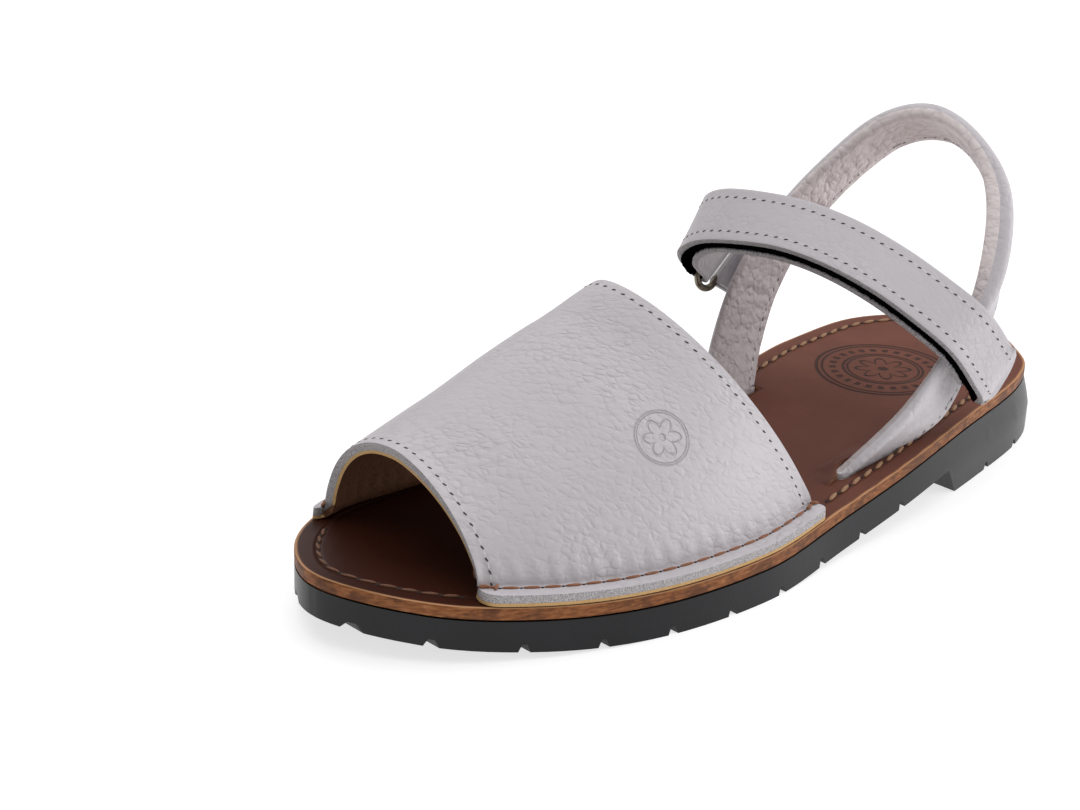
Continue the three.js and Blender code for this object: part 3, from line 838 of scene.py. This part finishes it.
def leg_cutter(t):
    """A slightly larger copy of a leg's foot, to cut its slit."""
    drops = (-INSOLE_THICKNESS - 2, 3.0)

    def place(row, column):
        return foot_point(t, *SECTION_LOOP[column], drops[row], SLIT_GAP)

    bm = grid(1, len(SECTION_LOOP) - 1, place)
    close_up(bm)
    return new_object("slit_cutter", bm, [edge_leather], 0)


def make_slingback():
    feet = [-INSOLE_THICKNESS, -0.5 * INSOLE_THICKNESS, 0.0, LEG_STUB]
    ts = [k / 150 for k in range(1, 150)]

    def wrinkled(t, share, side):
        point = sling_point(t, share, side)
        wrinkle = noise.noise(point * 0.32) + 0.6 * noise.noise(point * 0.8)
        length = SLING_LENGTH * t
        if side < 0:
            wrinkle += 1.9 * noise.noise(Vector((length / 2.2, share * 1.4, 7.0)))
        else:
            wrinkle += 1.3 * noise.noise(Vector((length / 14.0, share * 5.0, 2.0)))
        depth = 0.26 * smooth((share - 0.12) / 0.2) * smooth(min(t, 1 - t) * 12)
        depth *= 0.25 + 0.75 * smooth((1 - share) / 0.2)
        return point + sling_frame(t)[3] * (side * depth * wrinkle)

    def place(row, column):
        share, side = SECTION_LOOP[column]
        if row < len(feet):
            return foot_point(0.0, share, side, feet[row])
        row -= len(feet)
        if row < len(ts):
            return wrinkled(ts[row], share, side)
        return foot_point(1.0, share, side, feet[::-1][row - len(ts)])

    def paint(column):
        return 0 if SECTION_LOOP[column][1] > 0 and SECTION_LOOP[column + 1][1] > 0 else 1

    bm = grid(2 * len(feet) + len(ts) - 1, len(SECTION_LOOP) - 1, place, paint)
    close_up(bm)
    piece = new_object("slingback_band", bm, [leather_sling, leather_sling_inner], 60)
    finer = piece.modifiers.new("finer", "SUBSURF")
    finer.levels = 1
    finer.render_levels = 1
    rides(piece, "slingback_and_ankle_strap")


# Ankle strap
@functools.cache
def strap_frame(t):
    def place(share):
        side, back, rise = read_table(STRAP_TABLE, clamp01(share))[:3]
        return Vector((side * STRAP_HALF_SPAN, STRAP_FRONT_Y + back * STRAP_SWEEP,
                       insole_top(SOLE_LENGTH / 2) + rise * STRAP_RISE))

    along = (place(t + 0.01) - place(t - 0.01)).normalized()
    dip = math.radians(read_table(STRAP_TABLE, t)[3])
    across = Vector((0, -math.cos(dip), -math.sin(dip)))
    across = (across - along * across.dot(along)).normalized()
    return place(t), along, across, along.cross(across).normalized()


LAYER_OFFSET = HOOK_LOOP_THICKNESS / 2 + SEAM_GAP + STRAP_WALL / 2
FOLD_OFFSET = max(RING_WIRE / 2 + RING_PLAY + SEAM_GAP + STRAP_WALL / 2, LAYER_OFFSET)
PILE_STOP = 0.8


def strap_gap(t):
    return LAYER_OFFSET + (FOLD_OFFSET - LAYER_OFFSET) * smooth((t - 0.8) / 0.2)


def strap_point(t, share, offset, tip=0.0):
    """Point of the strap: share of the width from the middle, offset outwards, tip moved out along."""
    centre, along, across, outward = strap_frame(t)
    reach = max(1 - abs(2 * share) ** 3, 0) ** 0.5
    return centre + across * (share * STRAP_WIDTH) + outward * offset - along * (tip * reach)


def fold_point(angle, share, radius):
    """Point of the strap's fold round the ring: angle 0 where it leaves the upper layer."""
    centre, along, across, outward = strap_frame(1.0)
    way = outward * math.cos(angle) + along * math.sin(angle)
    return centre + across * (share * STRAP_WIDTH) + way * radius


def make_ankle_strap():
    layer, fold, columns = 90, 14, 20

    def place(row, column):
        share = column / columns - 0.5
        if row <= layer:
            t = row / layer
            return strap_point(t, share, strap_gap(t), TIP_LENGTH * max(1 - t / 0.06, 0))
        row -= layer
        if row < fold:
            return fold_point(math.pi * row / fold, share, strap_gap(1.0))
        t = 1 - (1 - LEG_SHARE) * (row - fold) / layer
        return strap_point(t, share, -strap_gap(t))

    bm = grid(2 * layer + fold, columns, place)
    bmesh.ops.recalc_face_normals(bm, faces=bm.faces)
    face_up(bm)
    piece = new_object("ankle_strap", bm, [leather_strap, cut_edge], 50)
    add_wall(piece, STRAP_WALL, 1)
    add_bevel(piece, 0.3)
    rides(piece, "slingback_and_ankle_strap")


def make_hook_and_loop():
    rows, across = 120, 16

    def place(row, column):
        t = 0.02 + (PILE_STOP - 0.02) * row / rows
        side = 1 if column <= across else -1
        step = column if column <= across else 2 * across - column
        share = (step / across - 0.5) * 1.06 + 0.03
        ragged = 0.18 * noise.noise(Vector((row * 0.9, column * 1.7, 3.0)))
        centre, _, cross, outward = strap_frame(t)
        height = HOOK_LOOP_THICKNESS / 2 * (1 - 0.3 * abs(step / across * 2 - 1) ** 8)
        return centre + cross * (share * STRAP_WIDTH + 3 * ragged) + outward * (side * height + ragged)

    bm = grid(rows, 2 * across, place)
    close_up(bm, 0.001)
    rides(new_object("hook_and_loop_pile", bm, [pile]), "hook_and_loop")


def make_fold_pile():
    """The pile goes on, thinner, over the inside of the upper layer and of its fold round the ring."""
    depth = 0.5
    inner = STRAP_WALL / 2 + depth / 2 + 0.02

    def place(row, column):
        ragged = 0.02 * noise.noise(Vector((row * 1.3, column * 3.0, 1.0)))
        share = (column / 12 - 0.5) * (1.12 if row < 19 else 1.05) + ragged
        if row > 20:
            return fold_point(0.9 * math.pi * (row - 20) / 11, share, FOLD_OFFSET - inner)
        t = PILE_STOP + 0.005 + (1 - PILE_STOP - 0.005) * row / 20
        return strap_point(t, share, strap_gap(t) - inner)

    piece = new_object("fold_pile", grid(31, 12, place), [pile], 60)
    add_wall(piece, depth)
    rides(piece)


def make_pile_fibres():
    """Loose hairs along both edges of the pile."""
    bm = bmesh.new()
    chance = random.Random(5)
    count = 520
    for side in (-1, 1):
        for k in range(count):
            t = 0.03 + 0.93 * (k + chance.random()) / count
            centre, along, across, outward = strap_frame(t)
            high = strap_gap(t) - STRAP_WALL / 2
            height = chance.uniform(-0.6, 0.9) * high if t < PILE_STOP else chance.uniform(0.75, 0.98) * high
            root = centre + across * (side * 0.5 * STRAP_WIDTH) + outward * height
            way = across * side + along * chance.uniform(-0.9, 0.9) + outward * chance.uniform(-0.4, 0.4)
            way.normalize()
            length = chance.uniform(0.7, 1.5)
            turn = Vector((0, 0, 1)).rotation_difference(way).to_matrix().to_4x4()
            matrix = Matrix.Translation(to_row(root + way * (0.35 * length))) @ turn
            bmesh.ops.create_cone(bm, cap_ends=True, segments=3, radius1=0.09 * MM, radius2=0.03 * MM,
                                  depth=length * MM, matrix=matrix)
    rides(new_object("pile_fibres", bm, [pile]))


# Ring and tab
def make_ring():
    centre, along, across, outward = strap_frame(1.0)
    radius, bar = RING_WIDTH / 2, STRAP_WIDTH * 0.8
    turns, sides = 64, 14

    def spine(k):
        angle = 2 * math.pi * (k + 0.5) / turns
        sign = 1 if math.cos(angle) >= 0 else -1
        width = sign * bar / 2 + radius * math.cos(angle)
        return centre + across * width + along * (radius + radius * math.sin(angle))

    def place(row, column):
        before, here, after = (spine((row + j) % turns) for j in (-1, 0, 1))
        side = (after - before).cross(outward).normalized()
        angle = 2 * math.pi * column / sides
        return here + (side * math.cos(angle) + outward * math.sin(angle)) * (RING_WIRE / 2)

    bm = grid(turns, sides, place)
    close_up(bm, 0.02)
    rides(new_object("oval_ring", bm, [metal]), "ring")


def sewn_tab(reach, share, height):
    centre, _, across, outward, width, _ = sling_frame(TAB_PLACE - share * TAB_WIDTH / SLING_LENGTH)
    return centre + across * (reach * width) + outward * height


def make_ring_tab():
    centre, along, across, _ = strap_frame(1.0)
    far_bar = centre + along * RING_WIDTH
    seat = SLING_WALL / 2 + 1.5 * SEAM_GAP
    radius = RING_WIRE / 2 + SEAM_GAP + TAB_WALL / 2
    meeting = sewn_tab(TAB_START, 0.0, seat + TAB_WALL)
    heading = meeting - far_bar
    heading = (heading - across * meeting.dot(across)).normalized()
    outward = heading.cross(across).normalized()
    outer, inner = seat + 1.5 * TAB_WALL + SEAM_GAP, seat + 0.5 * TAB_WALL
    sewn, fold, columns = 10, 10, 10

    def place(row, column):
        share = column / columns - 0.5
        if row <= sewn:
            return sewn_tab(TAB_END + (TAB_START - TAB_END) * row / sewn, share, outer)
        row -= sewn + 1
        if row <= fold:
            angle = math.pi * row / fold
            way = outward * math.cos(angle) - heading * math.sin(angle)
            return far_bar + across * (share * TAB_WIDTH) + way * radius
        row -= fold + 1
        return sewn_tab(TAB_START + (TAB_END - TAB_START) * row / sewn, share, inner)

    bm = grid(2 * sewn + fold + 2, columns, place)
    piece = new_object("ring_tab_leather", bm, [leather_strap, cut_edge], 50)
    add_wall(piece, TAB_WALL, 1)
    add_bevel(piece, 0.25)
    rides(piece, "ring_tab")


# Vamp
@functools.cache
def vamp_row(t):
    share, peak, lateral_round, medial_round, medial_share, *leads = read_table(VAMP_TABLE, t)
    y = TOE_OPENING_Y + (THROAT_Y - TOE_OPENING_Y) * t
    lean = TOE_LEAN + (THROAT_LEAN - TOE_LEAN) * t
    crease = RIM_INSET + FLANGE_WIDTH
    lateral = edge_x(crease, y, 1)
    medial = edge_x(RIM_INSET, y, -1) * (1 - medial_share) + edge_x(crease, y, -1) * medial_share
    peak_x = lateral + (medial - lateral) * peak
    return {
        "y": y, "lean": lean, "top": insole_top(y) + SEAM_GAP + VAMP_WALL, "rise": share * THROAT_RISE,
        "lateral": lateral, "medial": medial, "peak": peak_x, "round": (lateral_round, medial_round),
        "lead": [lead * FLANGE_WIDTH for lead in leads],
    }


def arch_point(t, turn):
    """Point on the vamp's outer face: turn 0 at the lateral crease, 1 at the medial one."""
    row = vamp_row(t)
    angle = math.pi * turn
    side = 1 if math.cos(angle) >= 0 else -1
    n = row["round"][0] if side > 0 else row["round"][1]
    half = row["lateral"] - row["peak"] if side > 0 else row["peak"] - row["medial"]
    x = row["peak"] + side * half * abs(math.cos(angle)) ** (2 / n)
    z = row["rise"] * max(math.sin(angle), 0) ** (2 / n)
    return Vector((x, row["y"] - row["lean"] * z, row["top"] + z))


def flange_point(t, side, share):
    """Point on a flange's top: share 0 at the rim, 1 at the crease, with its two corners rounded."""
    row = vamp_row(t)
    short = max(FLANGE_CORNER - min(t, 1 - t) * (THROAT_Y - TOE_OPENING_Y), 0)
    share += (1 - share) * (FLANGE_CORNER - math.sqrt(FLANGE_CORNER ** 2 - short ** 2)) / FLANGE_WIDTH
    lead = row["lead"][0 if side > 0 else 1]
    y = row["y"] + lead
    rim = Vector((edge_x(RIM_INSET, y, side), y, insole_top(y) + SEAM_GAP + VAMP_WALL))
    crease = Vector((row["lateral"] if side > 0 else row["medial"], row["y"], row["top"]))
    return rim.lerp(crease, share)


ARCH_COLUMNS = 84
FLANGE_COLUMNS = 6
VAMP_ENDS = [0.0, 0.002, 0.006, 0.011, 0.017, 0.024, 0.032]
VAMP_ROWS = VAMP_ENDS + [0.032 + 0.936 * k / 84 for k in range(1, 84)] + [1 - end for end in VAMP_ENDS[::-1]]
FLANGE_CORNER = 2.6
CREASE_PITCH = 5.0
PUCKER = 0.36
VAMP_STAMP = (0.637, 0.235)
VAMP_STAMP_RADIUS = 7.2
SIDES = ((1, "lateral"), (-1, "medial"))


def lengths(points):
    """Length along a path up to each of its points."""
    return np.concatenate([[0.0], np.cumsum([(b - a).length for a, b in zip(points, points[1:])])])


@functools.cache
def crease_reach(side):
    """Lengths along a crease at 121 even values of t, and the pitch of its stitches."""
    reach = lengths([flange_point(k / 120, side, CREASE_SEAM) for k in range(121)])
    return reach, reach[-1] / max(round(reach[-1] / CREASE_PITCH), 1)


def puckered(t, turn):
    """The leather is drawn in at every crease stitch and puffs out between them."""
    point = arch_point(t, turn)
    side = 1 if turn < 0.5 else -1
    crease = arch_point(t, 0.0 if side > 0 else 1.0)
    height = (point - crease).length
    if height > 9 or not 0 < turn < 1:
        return point
    reach, pitch = crease_reach(side)
    wave = math.cos(2 * math.pi * float(np.interp(t, np.linspace(0, 1, 121), reach)) / pitch)
    wave *= 0.75 + 0.5 * noise.noise(Vector((t * 23, side, 4)))
    fade = smooth(height / 1.4) * (1 - smooth((height - 2) / 7))
    return point + Vector((side * 0.85, 0, 0.5)) * (PUCKER * wave * fade)


def make_vamp():
    columns = ARCH_COLUMNS + 2 * FLANGE_COLUMNS

    def place(row, column):
        t = VAMP_ROWS[row]
        if column < FLANGE_COLUMNS:
            return flange_point(t, 1, column / FLANGE_COLUMNS)
        if column > FLANGE_COLUMNS + ARCH_COLUMNS:
            return flange_point(t, -1, (columns - column) / FLANGE_COLUMNS)
        turn = (column - FLANGE_COLUMNS) / ARCH_COLUMNS
        return puckered(t, turn - 0.045 * math.sin(2 * math.pi * turn))

    @functools.cache
    def row_reach(row):
        reach = lengths([place(row, column) for column in range(columns + 1)])
        return reach - reach[columns // 2]

    def mark(row, column):
        return float(row_reach(row)[column]), (1 - VAMP_ROWS[row]) * (THROAT_Y - TOE_OPENING_Y), 0.0

    def shell(name, depth, thickness, edge, materials, inner_material=0):
        bm = grid(len(VAMP_ROWS) - 1, columns, place, None, mark)
        face_up(bm)
        near = []
        for vert in bm.verts:
            _, y, z = from_row(vert)
            if z - insole_top(y) - SEAM_GAP - VAMP_WALL < 3.0 and not vert.is_boundary:
                near.append(vert)
        for _ in range(2):
            bmesh.ops.smooth_vert(bm, verts=near, factor=0.5, use_axis_x=True, use_axis_z=True)
        if depth:
            bm.normal_update()
            for vert, normal in [(v, v.normal.copy()) for v in bm.verts]:
                vert.co -= normal * (depth * MM)
        piece = new_object(name, bm, materials, 60)
        add_wall(piece, thickness, 1, inner_material, -1.0, False)
        add_bevel(piece, edge, 3)
        rides(piece, "vamp")

    middle = arch_point(*VAMP_STAMP)
    across = (arch_point(VAMP_STAMP[0], VAMP_STAMP[1] + 0.01) - middle).normalized()
    ahead = arch_point(VAMP_STAMP[0] + 0.01, VAMP_STAMP[1]) - middle
    facing = across.cross(ahead).normalized()
    facing = facing if facing.z > 0 else -facing
    axes = (across, facing.cross(across).normalized(), facing)
    leather_vamp = white_leather("vamp leather", 0.48, 0.4, 0.25, (0.75, 1.15, 1.0),
                                 stamp=(middle, axes, VAMP_STAMP_RADIUS), flat=True)
    outer_wall = VAMP_WALL - LINING_WALL
    shell("vamp_leather", 0.0, outer_wall, 0.5, [leather_vamp, cut_edge, lining], 2)
    shell("vamp_lining", outer_wall + 0.02, LINING_WALL, 0.2, [lining, lining_edge])
    for side, name in SIDES:
        # A thin dark sheet fills the seam gap under each flange: painted shade between the flange and the
        # board.
        def bed(row, column, side=side):
            point = flange_point(0.01 + 0.98 * row / 60, side, 0.35 + 0.2 * column)
            point.z = insole_top(point.y) + SEAM_GAP / 2
            return point

        seam = new_object(name + "_flange_gap_shade", grid(60, 2, bed), [brown_hole], 0)
        add_wall(seam, SEAM_GAP * 0.9)
        rides(seam)


# Threads and needle holes
def bead_chain(name, places, size, material):
    """Many small rounded beads in one mesh: each place is (point, along, normal)."""
    bm = bmesh.new()
    scale = Matrix.Diagonal((*[s * MM / 2 for s in size], 1))
    for point, along, normal in places:
        along = along.normalized()
        side = normal.cross(along).normalized()
        turn = Matrix((along, side, along.cross(side).normalized())).transposed().to_4x4()
        matrix = Matrix.Translation(to_row(point)) @ turn @ scale
        bmesh.ops.create_uvsphere(bm, u_segments=8, v_segments=5, radius=1, matrix=matrix)
    rides(new_object(name, bm, [material]))


def spaced(path, pitch):
    """Points, directions and normals at an even pitch along a dense path of (point, normal)."""
    points, normals = zip(*path)
    reach = lengths(points)
    count = max(int(round(reach[-1] / pitch)), 1)
    made, k = [], 0
    for j in range(count + 1):
        want = j * reach[-1] / count
        while k < len(reach) - 2 and reach[k + 1] < want:
            k += 1
        f = (want - reach[k]) / max(reach[k + 1] - reach[k], 1e-9)
        made.append((points[k].lerp(points[k + 1], f), (points[k + 1] - points[k]).normalized(),
                     normals[k].lerp(normals[k + 1], f).normalized()))
    return made


def stitch_row(name, path, pitch, length, hole, thread_look, hole_look, sink, width, slant=0.0):
    """A sewn row: a hole every pitch and a thread lying between one hole and the next."""
    marks = spaced(path, pitch)
    # Each hole is a dark bead at the surface: painted shade, not a cut hole.
    holes = [(p + n * hole[3], a + 0.35 * n.cross(a), n) for p, a, n in marks]
    bead_chain(name + "_holes", holes, hole[:3], hole_look)
    threads = []
    for (p, _, n), (q, _, m) in zip(marks, marks[1:]):
        way = (q - p).normalized()
        threads.append(((p + q) / 2 + n * sink, way + slant * n.cross(way), ((n + m) / 2).normalized()))
    bead_chain(name + "_threads", threads, (length, width, width * 0.8), thread_look)


def fine_row(name, path):
    stitch_row(name, path, 2.9, 2.1, (1.25, 0.48, 0.2, 0.03), white_thread, needle_hole, -0.1, 0.5)


def make_insole_stitches():
    lateral, medial = inset_chains(INSOLE_SEAM_INSET)
    loop = np.concatenate([lateral, medial[::-1]])
    path = [(Vector((x, y, insole_top(y))), Vector((0, 0, 1))) for x, y in loop[::6]]
    heel = [p for p in path if p[0].y >= THROAT_Y + 3]
    toe = [p for p in path if p[0].y <= TOE_OPENING_Y - 2]
    heel_path = sorted([p for p in heel if p[0].x >= 0], key=lambda p: p[0].y)
    heel_path += sorted([p for p in heel if p[0].x < 0], key=lambda p: -p[0].y)
    toe_path = sorted([p for p in toe if p[0].x >= -10], key=lambda p: -p[0].y)
    toe_path += sorted([p for p in toe if p[0].x < -10], key=lambda p: p[0].y)
    hole = (1.7, 1.0, 0.4, -0.02)
    stitch_row("heel_seat_stitches", heel_path, 5.0, 4.6, hole, tan_thread, brown_hole, 0.2, 1.2, 0.2)
    stitch_row("toe_stitches", toe_path, 5.0, 4.4, hole, toe_thread_shaded, brown_hole, 0.14, 0.95, 0.15)


def make_crease_stitches():
    for side, name in SIDES:
        normal = Vector((side * 0.25, 0, 1)).normalized()
        path = [(flange_point(k / 120, side, CREASE_SEAM), normal) for k in range(121)]
        stitch_row(name + "_crease_stitches", path, CREASE_PITCH, 4.5, (0.9, 0.7, 0.3, 0.02),
                   orange_thread, brown_hole, 0.2, 0.8)
        knots = [(path[k][0] + normal * 0.5, Vector((side * turn, 1, 0)), normal)
                 for k, turn in ((1, 0.6), (4, -0.5), (119, 0.6), (116, -0.4))]
        bead_chain(name + "_thread_ends", knots, (2.6, 0.9, 0.9), orange_thread)


def make_vamp_edge_stitches():
    for t, name in ((0.029, "toe_edge"), (0.966, "throat_edge")):
        path = []
        for k in range(241):
            turn = 0.012 + 0.976 * k / 240
            point = arch_point(t, turn)
            across = arch_point(t, min(turn + 0.004, 1)) - arch_point(t, max(turn - 0.004, 0))
            ahead = arch_point(min(t + 0.01, 1), turn) - arch_point(max(t - 0.01, 0), turn)
            normal = across.cross(ahead).normalized()
            if normal.dot(point - Vector((0, point.y, 20))) < 0:
                normal = -normal
            path.append((point, normal))
        fine_row(name, path)


def make_sling_stitches():
    for side, name in ((-1, "slingback_inner"), (1, "slingback_outer")):
        ts = [0.03 + 0.94 * k / 360 for k in range(361)]
        path = [(sling_point(t, SLING_SEAM, side), sling_frame(t)[3] * side) for t in ts]
        stitch_row(name, path, 3.2, 2.3, (1.1, 0.45, 0.2, 0.03), white_thread, needle_mark, -0.1, 0.5)


def make_strap_stitches():
    for share, name in ((-0.33, "strap_front"), (0.33, "strap_back")):
        ts = [0.005 + 0.985 * k / 240 for k in range(241)]
        path = [(strap_point(t, share, strap_gap(t) + STRAP_WALL / 2), strap_frame(t)[3]) for t in ts]
        fine_row(name, path)


# All pieces, then the floor, lights and camera
make_outsole()
make_insole()
make_vamp()
make_slit_lip()
make_slingback()
make_ankle_strap()
make_hook_and_loop()
make_fold_pile()
make_pile_fibres()
make_ring()
make_ring_tab()
make_insole_stitches()
make_crease_stitches()
make_vamp_edge_stitches()
make_sling_stitches()
make_strap_stitches()


def make_floor():
    material, tree, shader = new_material("studio floor")
    cloud = noise_at(tree, millimetres(tree), 0.002, 2)
    feed(tree, shader, {"Emission Color": (1, 1, 1, 1), "Emission Strength": 0.7, "Roughness": 0.7,
                        "Base Color": ramp(tree, cloud, (0.3, (168, 168, 168)), (0.7, (172, 172, 172)))})
    bm = bmesh.new()
    bmesh.ops.create_grid(bm, x_segments=1, y_segments=1, size=6)
    new_object("studio_floor", bm, [material], 0)


def area_light(name, place, target, size, power):
    data = bpy.data.lights.new(name, "AREA")
    data.shape = "RECTANGLE"
    data.size, data.size_y = size
    data.energy = power
    light = bpy.data.objects.new(name, data)
    light.location = place
    light.rotation_mode = "QUATERNION"
    light.rotation_quaternion = (Vector(target) - Vector(place)).to_track_quat("-Z", "Y")
    bpy.context.scene.collection.objects.link(light)


def make_world(strength):
    world = bpy.data.worlds.new("studio")
    world.use_nodes = True
    background = world.node_tree.nodes["Background"]
    background.inputs[0].default_value = (1, 1, 1, 1)
    background.inputs[1].default_value = strength
    bpy.context.scene.world = world


CAMERA_AZIMUTH = math.radians(44.97)
CAMERA_ELEVATION = math.radians(22.83)
CAMERA_ROLL = math.radians(1.86)
CAMERA_DISTANCE = 525.0
CAMERA_TARGET = Vector((-26.17, -37.92, 30.0))
FOCAL_PIXELS = 2041.3
IMAGE_WIDTH = 1080


def make_camera():
    level = math.cos(CAMERA_ELEVATION)
    back = Vector((math.sin(CAMERA_AZIMUTH) * level, -math.cos(CAMERA_AZIMUTH) * level,
                   math.sin(CAMERA_ELEVATION)))
    right = (-back).cross(Vector((0, 0, 1))).normalized()
    up = right.cross(-back)
    cosine, sine = math.cos(CAMERA_ROLL), math.sin(CAMERA_ROLL)
    right, up = right * cosine + up * sine, up * cosine - right * sine
    data = bpy.data.cameras.new("camera")
    data.sensor_width = 36.0
    data.sensor_fit = "HORIZONTAL"
    data.lens = FOCAL_PIXELS / IMAGE_WIDTH * data.sensor_width
    data.clip_start, data.clip_end = 0.01, 20
    camera = bpy.data.objects.new("camera", data)
    turn = Matrix((right, up, back)).transposed().to_4x4()
    camera.matrix_world = Matrix.Translation(to_row(CAMERA_TARGET + back * CAMERA_DISTANCE)) @ turn
    bpy.context.scene.collection.objects.link(camera)
    bpy.context.scene.camera = camera


make_floor()
make_world(0.36)
area_light("overhead softbox", (-0.1, 0.1, 0.9), (0, 0, 0.02), (1.2, 1.2), 7.2)
area_light("right softbox", (0.8, 0.8, 0.38), (0, 0, 0.04), (0.9, 0.6), 7.5)
area_light("left softbox", (-0.8, 0.2, 0.6), (0, 0.02, 0.05), (0.9, 0.6), 1.5)
make_camera()
bpy.context.scene.view_settings.view_transform = "Standard"
